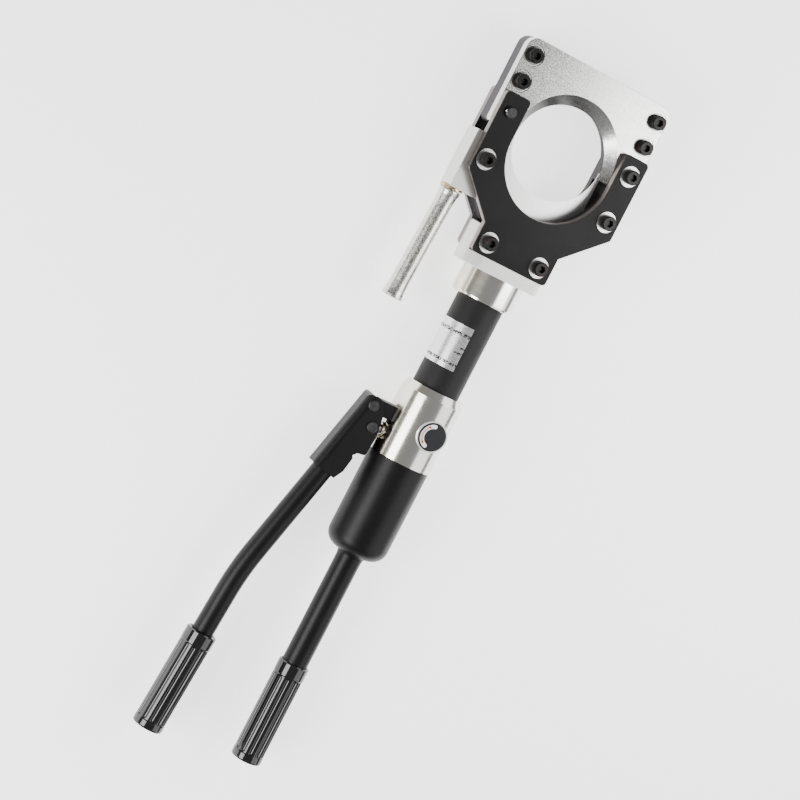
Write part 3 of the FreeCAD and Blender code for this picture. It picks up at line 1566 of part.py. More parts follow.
def pin_clips():
    places = ((d.pin_radius, 0, 0), (d.plunger_pin_radius, d.plunger_pin_x, d.plunger_pin_y))
    clips = []
    for radius, x, y in places:
        profile = ring_profile(radius, radius + CLIP_RIM, -CLIP_THICKNESS, 0)
        clips.append(turned("Clip", profile, *lever_spot(x, y, -d.fork_half_width), "Z"))
    return group("pin_clips", clips)


def pump_plunger():
    """Plunger with a flat eye; the eye's slot lets the lever's pin rise and fall."""
    eye_x = lever_spot(d.plunger_pin_x, d.plunger_pin_y)[0]
    rod = cylinder(
        d.plunger_radius,
        PLUNGER_BORE_END - PLUNGER_TRAVEL_GAP - eye_x,
        x=eye_x,
        y=d.plunger_y,
        z=d.axis_height,
        along="X",
    )
    eye = block(
        (eye_x - EYE_HALF_HEIGHT, d.plunger_y - EYE_HALF_HEIGHT, d.axis_height - EYE_HALF_WIDTH),
        (eye_x + EYE_HALF_HEIGHT, d.plunger_y + EYE_HALF_HEIGHT, d.axis_height + EYE_HALF_WIDTH),
    )
    radius = d.plunger_pin_radius + EYE_PLAY
    slot = [
        cylinder(radius, d.axis_height * 2, x=eye_x, y=d.plunger_y + PIN_DROP + rise)
        for rise in (-EYE_RISE, EYE_RISE)
    ]
    slot.append(
        block(
            (eye_x - radius, d.plunger_y + PIN_DROP - EYE_RISE, 0),
            (eye_x + radius, d.plunger_y + PIN_DROP + EYE_RISE, d.axis_height * 2),
        )
    )
    return cut("pump_plunger", joined([rod, eye], "plunger_body"), slot)


lever_pieces = [
    lever_fork(),
    lever_tube(),
    lever_grip(),
    cross_pin("fulcrum_pin", d.pin_radius, 0, 0),
    cross_pin("plunger_pin", d.plunger_pin_radius, d.plunger_pin_x, d.plunger_pin_y),
    pin_clips(),
]
plunger_pieces = [pump_plunger()]

# ---------------------------------------------------------------------------------------------
# Check every object, then write each sub-part
# ---------------------------------------------------------------------------------------------

doc.recompute()
failed = [item.Label for item in doc.Objects if {"Invalid", "Error"} & set(item.State)]
if failed:
    raise RuntimeError(f"objects that failed to recompute: {failed}")

nodes = head_pieces + gate_pieces + latch_pieces + ram_pieces
nodes += pump_pieces + lever_pieces + plunger_pieces
for node in nodes:
    if node.Shape.isNull() or not node.Shape.isValid():
        raise RuntimeError(f"{node.Label} has no valid shape")

os.makedirs("parts", exist_ok=True)
for node in nodes:
    node.Shape.exportStep(f"parts/{node.Label}.step")
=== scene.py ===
import json
import math

import bpy
from mathutils import Matrix, Vector


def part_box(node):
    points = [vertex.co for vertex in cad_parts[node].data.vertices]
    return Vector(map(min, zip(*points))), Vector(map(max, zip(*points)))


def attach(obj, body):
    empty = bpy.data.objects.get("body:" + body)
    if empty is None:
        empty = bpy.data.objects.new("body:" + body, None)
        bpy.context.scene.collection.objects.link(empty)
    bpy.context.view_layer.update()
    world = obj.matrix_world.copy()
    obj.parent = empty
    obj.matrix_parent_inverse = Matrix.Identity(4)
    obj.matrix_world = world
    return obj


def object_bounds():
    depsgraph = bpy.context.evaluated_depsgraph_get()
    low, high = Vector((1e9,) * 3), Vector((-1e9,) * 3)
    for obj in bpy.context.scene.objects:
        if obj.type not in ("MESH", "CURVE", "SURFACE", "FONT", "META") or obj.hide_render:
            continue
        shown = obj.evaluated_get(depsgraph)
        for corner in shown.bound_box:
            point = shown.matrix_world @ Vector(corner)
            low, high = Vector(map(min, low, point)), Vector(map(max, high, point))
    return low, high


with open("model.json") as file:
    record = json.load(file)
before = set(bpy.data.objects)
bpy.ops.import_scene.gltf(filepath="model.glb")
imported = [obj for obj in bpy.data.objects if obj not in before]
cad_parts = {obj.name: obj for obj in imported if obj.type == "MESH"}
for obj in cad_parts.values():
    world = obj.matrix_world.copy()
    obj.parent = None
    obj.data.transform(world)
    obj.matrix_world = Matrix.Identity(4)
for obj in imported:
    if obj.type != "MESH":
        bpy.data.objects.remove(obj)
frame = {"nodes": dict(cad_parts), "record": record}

CAD_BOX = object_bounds()
MM = 0.001
VALVE_LOW, VALVE_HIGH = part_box("valve_body")
AXIS_Z = (VALVE_LOW[2] + VALVE_HIGH[2]) / 2


# ---------------------------------------------------------------------------------------------
# Node helpers
# ---------------------------------------------------------------------------------------------


NOISE_RANGE = (0.3, 0.7)


class Graph:
    """A material's node tree with short calls for the nodes that it uses."""

    def __init__(self, name, colour, metallic, roughness, **sockets):
        self.material = bpy.data.materials.new(name)
        self.material.use_nodes = True
        self.tree = self.material.node_tree
        self.shader = self.tree.nodes["Principled BSDF"]
        self.shader.inputs["Base Color"].default_value = (*colour, 1)
        self.shader.inputs["Metallic"].default_value = metallic
        self.shader.inputs["Roughness"].default_value = roughness
        for socket, value in sockets.items():
            self.shader.inputs[socket.replace("_", " ")].default_value = value
        self.coords = self.node("ShaderNodeTexCoord")

    def node(self, kind, **settings):
        made = self.tree.nodes.new(kind)
        for key, value in settings.items():
            setattr(made, key, value)
        return made

    def link(self, source, target):
        self.tree.links.new(source, target)

    def feed(self, node, socket, value):
        if hasattr(value, "is_output"):
            self.link(value, node.inputs[socket])
        else:
            node.inputs[socket].default_value = value

    def math(self, operation, first, second=0.0):
        made = self.node("ShaderNodeMath", operation=operation)
        self.feed(made, 0, first)
        self.feed(made, 1, second)
        return made.outputs[0]

    def split(self, vector):
        made = self.node("ShaderNodeSeparateXYZ")
        self.link(vector, made.inputs[0])
        return made.outputs

    def place(self):
        return self.split(self.coords.outputs["Object"])

    def normal(self):
        return self.split(self.coords.outputs["Normal"])

    def stretch(self, scale):
        made = self.node("ShaderNodeMapping")
        self.link(self.coords.outputs["Object"], made.inputs["Vector"])
        made.inputs["Scale"].default_value = scale
        return made.outputs[0]

    def noise(self, scale, detail=4.0, roughness=0.55, stretch=(1, 1, 1)):
        made = self.node("ShaderNodeTexNoise")
        self.link(self.stretch(stretch), made.inputs["Vector"])
        made.inputs["Scale"].default_value = scale
        made.inputs["Detail"].default_value = detail
        made.inputs["Roughness"].default_value = roughness
        return made.outputs["Fac"]

    def spread(self, value, low, high, to_low=0.0, to_high=1.0):
        """Map the range from low to high onto another one, held at its ends."""
        made = self.node("ShaderNodeMapRange")
        self.link(value, made.inputs["Value"])
        limits = {"From Min": low, "From Max": high, "To Min": to_low, "To Max": to_high}
        for socket, limit in limits.items():
            made.inputs[socket].default_value = limit
        return made.outputs[0]

    def mix(self, factor, first, second):
        made = self.node("ShaderNodeMix", data_type="RGBA")
        self.feed(made, 0, factor)
        for socket, colour in ((6, first), (7, second)):
            self.feed(made, socket, colour if hasattr(colour, "is_output") else (*colour, 1))
        return made.outputs[2]

    def follow(self, noise, to_low=0.0, to_high=1.0):
        """Spread the usual range of a noise."""
        return self.spread(noise, *NOISE_RANGE, to_low, to_high)

    def vary(self, noise, first, second):
        """Colour that follows a noise from one tone to another."""
        return self.mix(self.follow(noise), first, second)

    def between(self, value, low, high, soft):
        """1 where value lies between two limits, with soft ends."""
        rise = self.spread(value, low - soft, low + soft)
        fall = self.spread(value, high - soft, high + soft, 1.0, 0.0)
        return self.math("MULTIPLY", rise, fall)

    def distance(self, across, along):
        """Length of a step whose two parts these are."""
        squares = (self.math("MULTIPLY", part, part) for part in (across, along))
        return self.math("SQRT", self.math("ADD", *squares))

    def colour(self, value):
        self.link(value, self.shader.inputs["Base Color"])

    def rough(self, value):
        self.link(value, self.shader.inputs["Roughness"])

    def metal(self, value):
        self.link(value, self.shader.inputs["Metallic"])

    def bump(self, height, strength, distance):
        made = self.node("ShaderNodeBump")
        made.inputs["Strength"].default_value = strength
        made.inputs["Distance"].default_value = distance
        self.link(height, made.inputs["Height"])
        self.link(made.outputs[0], self.shader.inputs["Normal"])


# ---------------------------------------------------------------------------------------------
# Materials
# ---------------------------------------------------------------------------------------------


SPOT_DEPTH = (0.6 * MM, 0.8 * MM)  # between these depths the spot-faces of the front plate turn bare
WALL_X = 57 * MM  # the side plates' inner walls lie within this half width; on the rear plate they carry painted shade
OPENING_START = (60 * MM, 64 * MM)  # and above this height
BARE_NECK_END = (46 * MM, 50 * MM)
SCREW_HEAD_RADIUS = 6.6 * MM
SPOT_FLOOR_SHADE = (8.5 * MM, 8.8 * MM)  # painted shade on the floor of a gate screw's spot-face ends here
SPOT_RIM_HIGHLIGHT = (8.4 * MM, 9.3 * MM)  # painted highlight ring at its edge
SPOT_SHADOW_LINE = (9.35 * MM, 9.8 * MM)  # painted dark line of shade round the ring
# Rows of the label: place along it, half height, and where across the tube they start.
LABEL_ROWS = (
    (0.13, 1.3 * MM, -30 * MM),
    (0.40, 0.9 * MM, -10 * MM),
    (0.52, 0.9 * MM, -6 * MM),
    (0.80, 1.5 * MM, -30 * MM),
)
LABEL_MARGIN = 3 * MM
INK_EDGE = 0.1 * MM
PAINTED_REFLECTION_SPAN = (-20 * MM, -2 * MM)  # the painted warm reflection on the nickel fades out between these places


def metal_grain(graph, scale, low, high, stretch=(1, 1, 1), strength=0.15, distance=0.00005):
    """Fine grain that varies the gloss and the surface of a metal."""
    grain = graph.noise(scale, 5.0, 0.6, stretch)
    graph.rough(graph.follow(grain, low, high))
    graph.bump(grain, strength, distance)
    return grain


def black_oxide(name, plate, front):
    """Oxidised plate with ground brown-grey edges. The spot-faces of the front plate are bare steel.
    The rear plate is bare round the neck. The ground inner walls of its opening, along which the blade
    slides, are painted dark as shade."""
    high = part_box(plate)[1]
    graph = Graph(name, (0.02, 0.02, 0.021), 0.0, 0.42, Specular_IOR_Level=0.17)
    x, y, z = graph.place()
    nz = graph.normal()[2]
    edge = graph.spread(graph.math("ABSOLUTE", nz), 0.93, 0.55)
    cloud = graph.noise(22, 5, 0.6)
    fine = graph.noise(900, 3, 0.6)
    streak = graph.noise(260, 3, 0.5, (0.15, 1, 4))
    face = graph.mix(graph.spread(cloud, 0.35, 0.7), (0.0050, 0.0045, 0.0048), (0.0090, 0.0080, 0.0082))
    ground = graph.vary(streak, (0.12, 0.105, 0.098), (0.25, 0.225, 0.21))
    if front:
        sunk = graph.spread(z, high[2] - SPOT_DEPTH[1], high[2] - SPOT_DEPTH[0], 1.0, 0.0)
        bare = graph.math("MULTIPLY", sunk, graph.spread(nz, 0.2, 0.6))
    else:
        # Painted shade: on the inner walls of the opening the ground brown-grey edge turns almost to the
        # black face colour.
        above = graph.spread(y, *OPENING_START)
        painted_wall_shade = graph.math("MULTIPLY", graph.between(x, -WALL_X, WALL_X, 1 * MM), above)
        edge = graph.math("MULTIPLY", edge, graph.spread(painted_wall_shade, 0, 1, 1.0, 0.12))
        neck = graph.spread(y, *BARE_NECK_END, 1.0, 0.0)
        bare = graph.math("MULTIPLY", graph.spread(nz, 0.6, 0.9), neck)
    painted = graph.mix(edge, face, ground)
    steel = graph.vary(fine, (0.55, 0.55, 0.54), (0.78, 0.78, 0.77))
    graph.colour(graph.mix(bare, painted, steel))
    shine = graph.math("MAXIMUM", edge, bare)
    graph.metal(shine)
    gloss = graph.spread(shine, 0, 1, 0.40, 0.30)
    graph.rough(graph.math("ADD", gloss, graph.follow(fine, -0.04, 0.06)))
    graph.bump(fine, 0.12, 0.00004)
    return graph.material


def from_gate_screw(graph):
    """Distance from the nearest of the four gate screws, seen from the front."""
    x, y, _ = graph.place()
    low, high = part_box("gate_screws")
    across = (high[0] - low[0]) / 2 - SCREW_HEAD_RADIUS
    along = (low[1] + SCREW_HEAD_RADIUS, high[1] - SCREW_HEAD_RADIUS)
    aside = graph.math("SUBTRACT", graph.math("ABSOLUTE", x), across)
    rows = (graph.math("ABSOLUTE", graph.math("SUBTRACT", y, row)) for row in along)
    return graph.distance(aside, graph.math("MINIMUM", *rows))


def ground_steel():
    """Surface-ground plate with long faint marks across. Round its four screws: painted shade on the
    spot-face floors, a painted highlight ring at their edges and a painted dark line round that. The bevel of
    its round edge has painted shade, darker at the upper left."""
    graph = Graph("ground_steel", (0.72, 0.72, 0.71), 1.0, 0.34)
    speck = graph.noise(760, 5, 0.75)
    marks = graph.noise(240, 3, 0.5, (0.12, 2.2, 1))
    cloud = graph.noise(9, 4, 0.55)
    tone = graph.mix(graph.spread(speck, 0.40, 0.60), (0.50, 0.50, 0.49), (0.88, 0.88, 0.87))
    face = graph.mix(graph.spread(cloud, 0.3, 0.75, 0, 0.35), tone, (0.70, 0.70, 0.66))
    # Painted shade on the bevel, set by which way its surface faces; darkest where it faces +x.
    nx, ny, nz = graph.normal()
    turned = graph.math("SUBTRACT", graph.math("MULTIPLY", nx, 0.77), graph.math("MULTIPLY", ny, 0.64))
    bevel = graph.between(nz, 0.15, 0.92, 0.04)
    painted_bevel_shade = graph.math("MULTIPLY", bevel, graph.spread(turned, 0.15, 0.50))
    shade = graph.mix(graph.spread(nx, 0.05, 0.45), (0.44, 0.44, 0.43), (0.12, 0.12, 0.117))
    plate = graph.mix(painted_bevel_shade, face, shade)
    # Painted shade on each gate screw's spot-face floor, a painted highlight ring at its edge and a painted
    # dark line round it.
    away = from_gate_screw(graph)
    floor = graph.mix(graph.spread(away, *SPOT_FLOOR_SHADE, 0.9, 0.0), plate, (0.30, 0.30, 0.29))
    rim = graph.mix(graph.between(away, *SPOT_RIM_HIGHLIGHT, 0.15 * MM), floor, (0.97, 0.97, 0.96))
    graph.colour(graph.mix(graph.between(away, *SPOT_SHADOW_LINE, 0.1 * MM), rim, (0.12, 0.12, 0.12)))
    both = graph.math("ADD", graph.math("MULTIPLY", speck, 0.6), graph.math("MULTIPLY", marks, 0.4))
    graph.rough(graph.spread(both, 0.35, 0.65, 0.17, 0.26))
    graph.bump(both, 0.30, 0.00004)
    return graph.material


def blade_steel():
    graph = Graph("blade_steel", (0.80, 0.80, 0.79), 1.0, 0.24)
    metal_grain(graph, 900, 0.27, 0.34, strength=0.04, distance=0.00001)
    return graph.material


def blasted_steel():
    graph = Graph("blasted_steel", (0.70, 0.70, 0.68), 1.0, 0.42)
    grain = metal_grain(graph, 1600, 0.36, 0.50, strength=0.3, distance=0.00006)
    graph.colour(graph.vary(grain, (0.58, 0.58, 0.56), (0.80, 0.80, 0.78)))
    return graph.material


def dark_steel():
    graph = Graph("dark_steel", (0.10, 0.095, 0.105), 0.2, 0.50, Specular_IOR_Level=0.15)
    grain = metal_grain(graph, 300, 0.42, 0.55, (0.2, 1, 3), 0.12)
    graph.colour(graph.mix(graph.spread(grain, 0.35, 0.65), (0.030, 0.027, 0.031), (0.070, 0.064, 0.072)))
    return graph.material


def nickel():
    """Turned and polished: faint rings round the axis. A painted reflection makes it warmer and darker on the
    left.
    """
    graph = Graph("nickel", (0.76, 0.74, 0.70), 1.0, 0.16)
    rings = graph.noise(700, 3, 0.6, (0.05, 3.0, 0.05))
    cloud = graph.noise(14, 4, 0.6)
    x = graph.place()[0]
    # Painted reflection: warm, darker tones on the tool's left side.
    painted_warm_reflection = graph.vary(cloud, (0.80, 0.76, 0.65), (0.62, 0.585, 0.49))
    cool = graph.vary(cloud, (0.80, 0.79, 0.76), (0.72, 0.71, 0.68))
    graph.colour(graph.mix(graph.spread(x, *PAINTED_REFLECTION_SPAN), painted_warm_reflection, cool))
    graph.rough(graph.math("ADD", graph.follow(rings, 0.10, 0.20), graph.follow(cloud, 0, 0.05)))
    graph.bump(rings, 0.10, 0.00002)
    return graph.material


def satin_nickel():
    """Ring that is turned but not polished."""
    graph = Graph("satin_nickel", (0.82, 0.81, 0.79), 1.0, 0.45)
    grain = metal_grain(graph, 900, 0.40, 0.52, strength=0.1)
    graph.colour(graph.vary(grain, (0.76, 0.75, 0.72), (0.88, 0.87, 0.85)))
    return graph.material


def powder_coat(name, tone, shine, low, high):
    """Satin black coating with its slight orange peel."""
    graph = Graph(name, (tone, tone, tone), 0.0, 0.42, Specular_IOR_Level=shine)
    peel = graph.noise(1100, 3, 0.5)
    cloud = graph.noise(30, 3, 0.6)
    light = (tone * 1.6, tone * 1.48, tone * 1.5)
    graph.colour(graph.vary(cloud, (tone, tone * 0.95, tone * 0.97), light))
    graph.rough(graph.follow(peel, low, high))
    graph.bump(peel, 0.3, 0.00008)
    return graph.material


def grip_plastic():
    graph = Graph("grip_plastic", (0.005, 0.005, 0.005), 0.0, 0.12, Specular_IOR_Level=0.7)
    smear = graph.noise(60, 4, 0.6, (1, 0.3, 1))
    graph.rough(graph.follow(smear, 0.05, 0.12))
    graph.colour(graph.mix(graph.spread(smear, 0.3, 0.8), (0.0030, 0.0028, 0.0030), (0.0055, 0.0050, 0.0052)))
    graph.bump(smear, 0.08, 0.0001)
    return graph.material


def screw_steel():
    """Black cap screws with a brown bloom of rust here and there."""
    graph = Graph("screw_steel", (0.02, 0.017, 0.016), 0.0, 0.34, Specular_IOR_Level=0.26)
    bloom = graph.noise(130, 5, 0.65)
    fine = graph.noise(1500, 3, 0.6)
    rust = graph.spread(bloom, 0.56, 0.74)
    graph.colour(graph.mix(rust, (0.0040, 0.0034, 0.0034), (0.060, 0.022, 0.013)))
    graph.rough(graph.math("ADD", graph.spread(rust, 0, 1, 0.30, 0.55), graph.follow(fine, -0.03, 0.05)))
    graph.bump(fine, 0.2, 0.00005)
    return graph.material


def pin_steel():
    graph = Graph("pin_steel", (0.05, 0.05, 0.053), 0.7, 0.35)
    grain = metal_grain(graph, 500, 0.30, 0.44, strength=0.2)
    graph.colour(graph.vary(grain, (0.030, 0.030, 0.032), (0.065, 0.064, 0.066)))
    return graph.material


def lug_steel(name, tone):
    """Oiled black steel in the shade of other pieces."""
    graph = Graph(name, (tone, tone, tone), 0.0, 0.5, Specular_IOR_Level=0.2)
    grain = metal_grain(graph, 600, 0.45, 0.60, strength=0.25)
    light = tuple(tone * share for share in (1.9, 1.7, 1.6))
    graph.colour(graph.vary(grain, (tone, tone * 0.9, tone * 0.87), light))
    return graph.material


def cast_metal():
    """Cast rod under bright plating, slightly dimpled."""
    graph = Graph("cast_metal", (0.72, 0.71, 0.68), 1.0, 0.30)
    dimple = graph.noise(900, 3, 0.6)
    patch = graph.noise(120, 4, 0.6)
    both = graph.math("ADD", graph.math("MULTIPLY", dimple, 0.85), graph.math("MULTIPLY", patch, 0.15))
    graph.colour(graph.mix(graph.spread(both, 0.40, 0.60), (0.44, 0.43, 0.38), (0.82, 0.81, 0.78)))
    graph.rough(graph.spread(both, 0.38, 0.62, 0.22, 0.38))
    graph.bump(dimple, 0.5, 0.00015)
    return graph.material


def brass():
    graph = Graph("brass", (0.62, 0.50, 0.28), 1.0, 0.30)
    grain = metal_grain(graph, 500, 0.22, 0.38)
    graph.colour(graph.vary(grain, (0.50, 0.39, 0.20), (0.70, 0.58, 0.34)))
    return graph.material


def pale_brass():
    """Brass under a thin wash of nickel."""
    graph = Graph("pale_brass", (0.72, 0.68, 0.58), 1.0, 0.25)
    grain = metal_grain(graph, 500, 0.18, 0.32)
    graph.colour(graph.mix(graph.spread(grain, 0.35, 0.7), (0.70, 0.62, 0.46), (0.82, 0.80, 0.75)))
    return graph.material


def rubber():
    graph = Graph("rubber", (0.02, 0.02, 0.02), 0.0, 0.6)
    metal_grain(graph, 400, 0.52, 0.68, strength=0.3)
    return graph.material


def chrome():
    graph = Graph("chrome", (0.82, 0.82, 0.84), 1.0, 0.08)
    metal_grain(graph, 300, 0.05, 0.14, strength=0.05)
    return graph.material


def knob_plastic():
    graph = Graph("knob_plastic", (0.01, 0.01, 0.011), 0.0, 0.38, Specular_IOR_Level=0.3)
    grain = metal_grain(graph, 900, 0.33, 0.45, strength=0.2)
    graph.colour(graph.vary(grain, (0.0095, 0.0098, 0.0115), (0.0135, 0.0140, 0.0160)))
    return graph.material


def foil():
    """Printed foil with rows of plain dark blocks in place of wording."""
    low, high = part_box("cylinder_label")
    graph = Graph("foil", (0.78, 0.78, 0.79), 0.85, 0.28)
    x, y, _ = graph.place()
    length = high[1] - low[1]
    rows = []
    for share, tall, start in LABEL_ROWS:
        middle = low[1] + share * length
        line = graph.between(y, middle - tall, middle + tall, INK_EDGE)
        rows.append(graph.math("MULTIPLY", line, graph.spread(x, start, start + 0.5 * MM)))
    ink = rows[0]
    for row in rows[1:]:
        ink = graph.math("MAXIMUM", ink, row)
    gaps = graph.noise(900, 1, 0.4, (1, 0.8, 1))
    ink = graph.math("MULTIPLY", ink, graph.spread(gaps, 0.43, 0.47))
    margin = graph.between(y, low[1] + LABEL_MARGIN, high[1] - LABEL_MARGIN, INK_EDGE)
    ink = graph.math("MULTIPLY", ink, margin)
    speck = graph.noise(700, 3, 0.6)
    sheet = graph.vary(speck, (0.70, 0.70, 0.71), (0.84, 0.84, 0.85))
    graph.colour(graph.mix(ink, sheet, (0.035, 0.035, 0.04)))
    graph.rough(graph.follow(speck, 0.22, 0.34))
    graph.bump(speck, 0.1, 0.00003)
    return graph.material


def enamel(name, first, second, roughness):
    graph = Graph(name, first, 0.0, roughness)
    speck = graph.noise(900, 3, 0.6)
    graph.colour(graph.vary(speck, first, second))
    graph.bump(speck, 0.1, 0.00003)
    return graph.material


MATERIALS = {
    "ground_steel": ground_steel(),
    "dark_steel": dark_steel(),
    "blade_steel": blade_steel(),
    "blasted_steel": blasted_steel(),
    "nickel": nickel(),
    "powder_coat": powder_coat("powder_coat", 0.0036, 0.20, 0.32, 0.46),
    "grip_plastic": grip_plastic(),
    "screw_steel": screw_steel(),
    "cast_metal": cast_metal(),
    "brass": brass(),
    "foil": foil(),
    "rubber": rubber(),
    "chrome": chrome(),
    "knob_plastic": knob_plastic(),
    "pin_steel": pin_steel(),
}
# Nodes whose look differs from their slot's usual one.
SPECIAL = {
    "front_side_plate": black_oxide("front_oxide", "front_side_plate", front=True),
    "rear_side_plate": black_oxide("rear_oxide", "rear_side_plate", front=False),
    "cylinder_tube": powder_coat("tube_coat", 0.0110, 0.18, 0.46, 0.60),
    "fulcrum_lug": lug_steel("lug_steel", 0.0030),
    "plunger_gland": pale_brass(),
    "knob_ring": satin_nickel(),
    "front_guides": lug_steel("guide_steel", 0.0060),
    "side_guides": lug_steel("side_guide_steel", 0.0060),
}


def paint_frame():
    """Give every CAD node its own material, or else the one of its slot."""
    slots = {part["node"]: part["material_slot"] for part in frame["record"]["subparts"]}
    for name, node in frame["nodes"].items():
        material = SPECIAL.get(name) or MATERIALS[slots[name]]
        node.data.materials.clear()
        node.data.materials.append(material)


paint_frame()

# ---------------------------------------------------------------------------------------------
# Added pieces
# ---------------------------------------------------------------------------------------------


CAP_STEPS = 10  # straight steps of a round end
MARK_DEPTH = 0.1 * MM  # how deep the marks reach into the knob
CRESCENT_HEIGHT = 0.06 * MM
CRESCENT_RADII = (0.62, 0.91)  # shares of the knob's radius
CRESCENT_ANGLES = (102, 251)
RED_HEIGHT = 0.1 * MM
RED_ARC_RADIUS = 0.77  # share of the knob's radius
RED_SPOT_RADIUS = 1.05 * MM
SPOT_ANGLES = (130, 226)
DASH_COUNT = 8
DASH_START = 139
DASH_STEP = 11
DASH_HALF_TURN = 4.4
DASH_HALF_WIDTH = 0.55 * MM


def mesh_piece(name, vertices, faces, material, body, slot):
    mesh = bpy.data.meshes.new(name)
    mesh.from_pydata(vertices, [], faces)
    mesh.materials.append(material)
    piece = bpy.data.objects.new(name, mesh)
    bpy.context.scene.collection.objects.link(piece)
    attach(piece, body)


def slab(outline, low, high):
    """Vertices and faces of a flat piece with this outline between two heights."""
    count = len(outline)
    vertices = [(x, y, low) for x, y in outline] + [(x, y, high) for x, y in outline]
    faces = [tuple(reversed(range(count))), tuple(range(count, 2 * count))]
    for index in range(count):
        following = (index + 1) % count
        faces.append((index, following, count + following, count + index))
    return vertices, faces


def point_at(centre, radius, angle):
    """Point on a circle; the angle is in degrees from +X."""
    turn = math.radians(angle)
    return centre[0] + radius * math.cos(turn), centre[1] + radius * math.sin(turn)


def turn_points(centre, radius, start, end, steps):
    """Points along an arc."""
    return [point_at(centre, radius, start + (end - start) * step / steps) for step in range(steps + 1)]


def arc_band(centre, inner, outer, start, end, steps):
    """Outline of a band along an arc, with square ends."""
    return turn_points(centre, outer, start, end, steps) + turn_points(centre, inner, end, start, steps)


def round_band(centre, inner, outer, start, end, steps):
    """Outline of a band along an arc, with round ends."""
    middle = (inner + outer) / 2
    half = (outer - inner) / 2
    rim = turn_points(centre, outer, start, end, steps)
    end_cap = turn_points(point_at(centre, middle, end), half, end, end + 180, CAP_STEPS)[1:-1]
    core = turn_points(centre, inner, end, start, steps)
    start_cap = turn_points(point_at(centre, middle, start), half, start + 180, start + 360, CAP_STEPS)[1:-1]
    return rim + end_cap + core + start_cap


def join_slabs(slabs):
    vertices = []
    faces = []
    for more, sides in slabs:
        base = len(vertices)
        vertices += more
        faces += [tuple(base + index for index in side) for side in sides]
    return vertices, faces


def knob_marks():
    """White crescent on the release knob, and on it a red dashed arc with a spot at each end."""
    low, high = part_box("release_knob")
    centre = ((low[0] + high[0]) / 2, (low[1] + high[1]) / 2)
    radius = (high[0] - low[0]) / 2
    foot = high[2] - MARK_DEPTH
    white = enamel("mark_white", (0.90, 0.90, 0.90), (0.95, 0.95, 0.95), 0.30)
    red = enamel("mark_red", (0.42, 0.002, 0.002), (0.52, 0.004, 0.003), 0.45)
    inner, outer = (radius * share for share in CRESCENT_RADII)
    band = slab(round_band(centre, inner, outer, *CRESCENT_ANGLES, 40), foot, high[2] + CRESCENT_HEIGHT)
    mesh_piece("knob_crescent", *band, white, "release", "knob_plastic")
    middle = radius * RED_ARC_RADIUS
    outlines = []
    for step in range(DASH_COUNT):
        angle = DASH_START + step * DASH_STEP
        radii = (middle - DASH_HALF_WIDTH, middle + DASH_HALF_WIDTH)
        angles = (angle - DASH_HALF_TURN, angle + DASH_HALF_TURN)
        outlines.append(arc_band(centre, *radii, *angles, 4))
    for angle in SPOT_ANGLES:
        spot = turn_points(point_at(centre, middle, angle), RED_SPOT_RADIUS, 0, 345, 23)
        outlines.append(spot)
    slabs = [slab(outline, foot, high[2] + RED_HEIGHT) for outline in outlines]
    mesh_piece("knob_arrow", *join_slabs(slabs), red, "release", "knob_plastic")


knob_marks()

# ---------------------------------------------------------------------------------------------
# Camera, light and floor
# ---------------------------------------------------------------------------------------------

VIEW_YAW = math.radians(22.0)
VIEW_PITCH = math.radians(4.5)
VIEW_ROLL = math.radians(27.2)
VIEW_DISTANCE = 2.15
VIEW_WIDTH = 0.704  # width of the picture at the target
SENSOR_WIDTH = 36.0
TARGET = Vector((-0.0254, -0.1400, AXIS_Z))
WORLD_STRENGTH = 0.32
FLOOR_HALF = 6.0
FLOOR_GAP = 0.5 * MM  # the floor lies this far below the tool
FLOOR_FALL = (0.75, 1.5)  # distances from the tool between which the floor's painted pool of light, glow and paler colour, falls off
FLOOR_GLOW = (1.9, 1.1)


def make_camera():
    """Camera in front of the tool, turned to its left, with the tool leaning to the right."""
    outwards = Vector(
        (
            -math.sin(VIEW_YAW) * math.cos(VIEW_PITCH),
            math.sin(VIEW_PITCH),
            math.cos(VIEW_YAW) * math.cos(VIEW_PITCH),
        )
    )
    along = Vector((0, 1, 0))
    upright = (along - outwards * along.dot(outwards)).normalized()
    sideways = upright.cross(outwards)
    up = upright * math.cos(VIEW_ROLL) - sideways * math.sin(VIEW_ROLL)
    right = up.cross(outwards)
    camera = bpy.data.objects.new("camera", bpy.data.cameras.new("camera"))
    turn = Matrix((right, up, outwards)).transposed().to_4x4()
    camera.matrix_world = Matrix.Translation(TARGET + outwards * VIEW_DISTANCE) @ turn
    camera.data.sensor_width = SENSOR_WIDTH
    camera.data.lens = SENSOR_WIDTH * VIEW_DISTANCE / VIEW_WIDTH
    bpy.context.scene.collection.objects.link(camera)
    bpy.context.scene.camera = camera


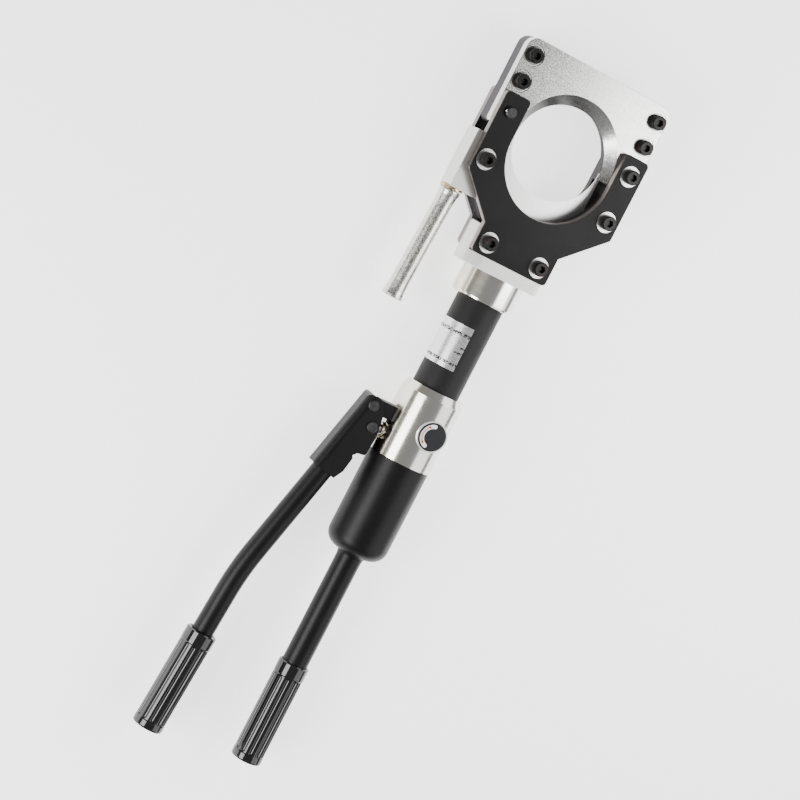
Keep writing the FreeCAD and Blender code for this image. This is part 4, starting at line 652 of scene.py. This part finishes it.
def softbox(name, turn, distance, middle_y, width, length, radiance):
    """Lamp that faces the tool's axis, turned this many degrees from straight above to the right."""
    angle = math.radians(turn)
    outwards = Vector((math.sin(angle), 0, math.cos(angle)))
    across = Vector((math.cos(angle), 0, -math.sin(angle)))
    data = bpy.data.lights.new(name, "AREA")
    data.shape = "RECTANGLE"
    data.size = width
    data.size_y = length
    data.energy = radiance * math.pi * width * length
    lamp = bpy.data.objects.new(name, data)
    basis = Matrix((across, Vector((0, 1, 0)), outwards)).transposed().to_4x4()
    lamp.matrix_world = Matrix.Translation(Vector((0, middle_y, AXIS_Z)) + outwards * distance) @ basis
    lamp.visible_camera = False
    bpy.context.scene.collection.objects.link(lamp)


def make_studio():
    softbox("left_softbox", turn=-55, distance=1.2, middle_y=-0.80, width=0.62, length=1.2, radiance=11.0)
    softbox("right_softbox", turn=50, distance=1.1, middle_y=0.45, width=0.95, length=3.2, radiance=2.0)
    softbox("head_softbox", turn=41, distance=0.755, middle_y=0.125, width=0.50, length=0.35, radiance=5.5)
    world = bpy.data.worlds.new("studio")
    world.use_nodes = True
    background = world.node_tree.nodes["Background"]
    background.inputs["Color"].default_value = (1, 1, 1, 1)
    background.inputs["Strength"].default_value = WORLD_STRENGTH
    bpy.context.scene.world = world


def make_floor():
    """Pale floor with a painted pool of light: it glows and is paler near the tool, less so away from it."""
    mesh = bpy.data.meshes.new("floor")
    corners = [(FLOOR_HALF * x, FLOOR_HALF * y, 0) for x, y in ((-1, -1), (1, -1), (1, 1), (-1, 1))]
    mesh.from_pydata(corners, [], [(0, 1, 2, 3)])
    graph = Graph("floor_paper", (0.9, 0.9, 0.9), 0.0, 0.9, Emission_Color=(1, 1, 1, 1))
    x, y, _ = graph.place()
    # Painted pool of light: the floor's glow and paleness fall off with distance from the tool.
    fall = graph.spread(graph.distance(x, y), *FLOOR_FALL)
    graph.link(graph.spread(fall, 0, 1, *FLOOR_GLOW), graph.shader.inputs["Emission Strength"])
    graph.colour(graph.mix(fall, (0.90, 0.90, 0.90), (0.80, 0.80, 0.80)))
    mesh.materials.append(graph.material)
    floor = bpy.data.objects.new("floor", mesh)
    floor.location = (TARGET.x, TARGET.y, CAD_BOX[0][2] - FLOOR_GAP)
    bpy.context.scene.collection.objects.link(floor)


make_camera()
make_studio()
make_floor()
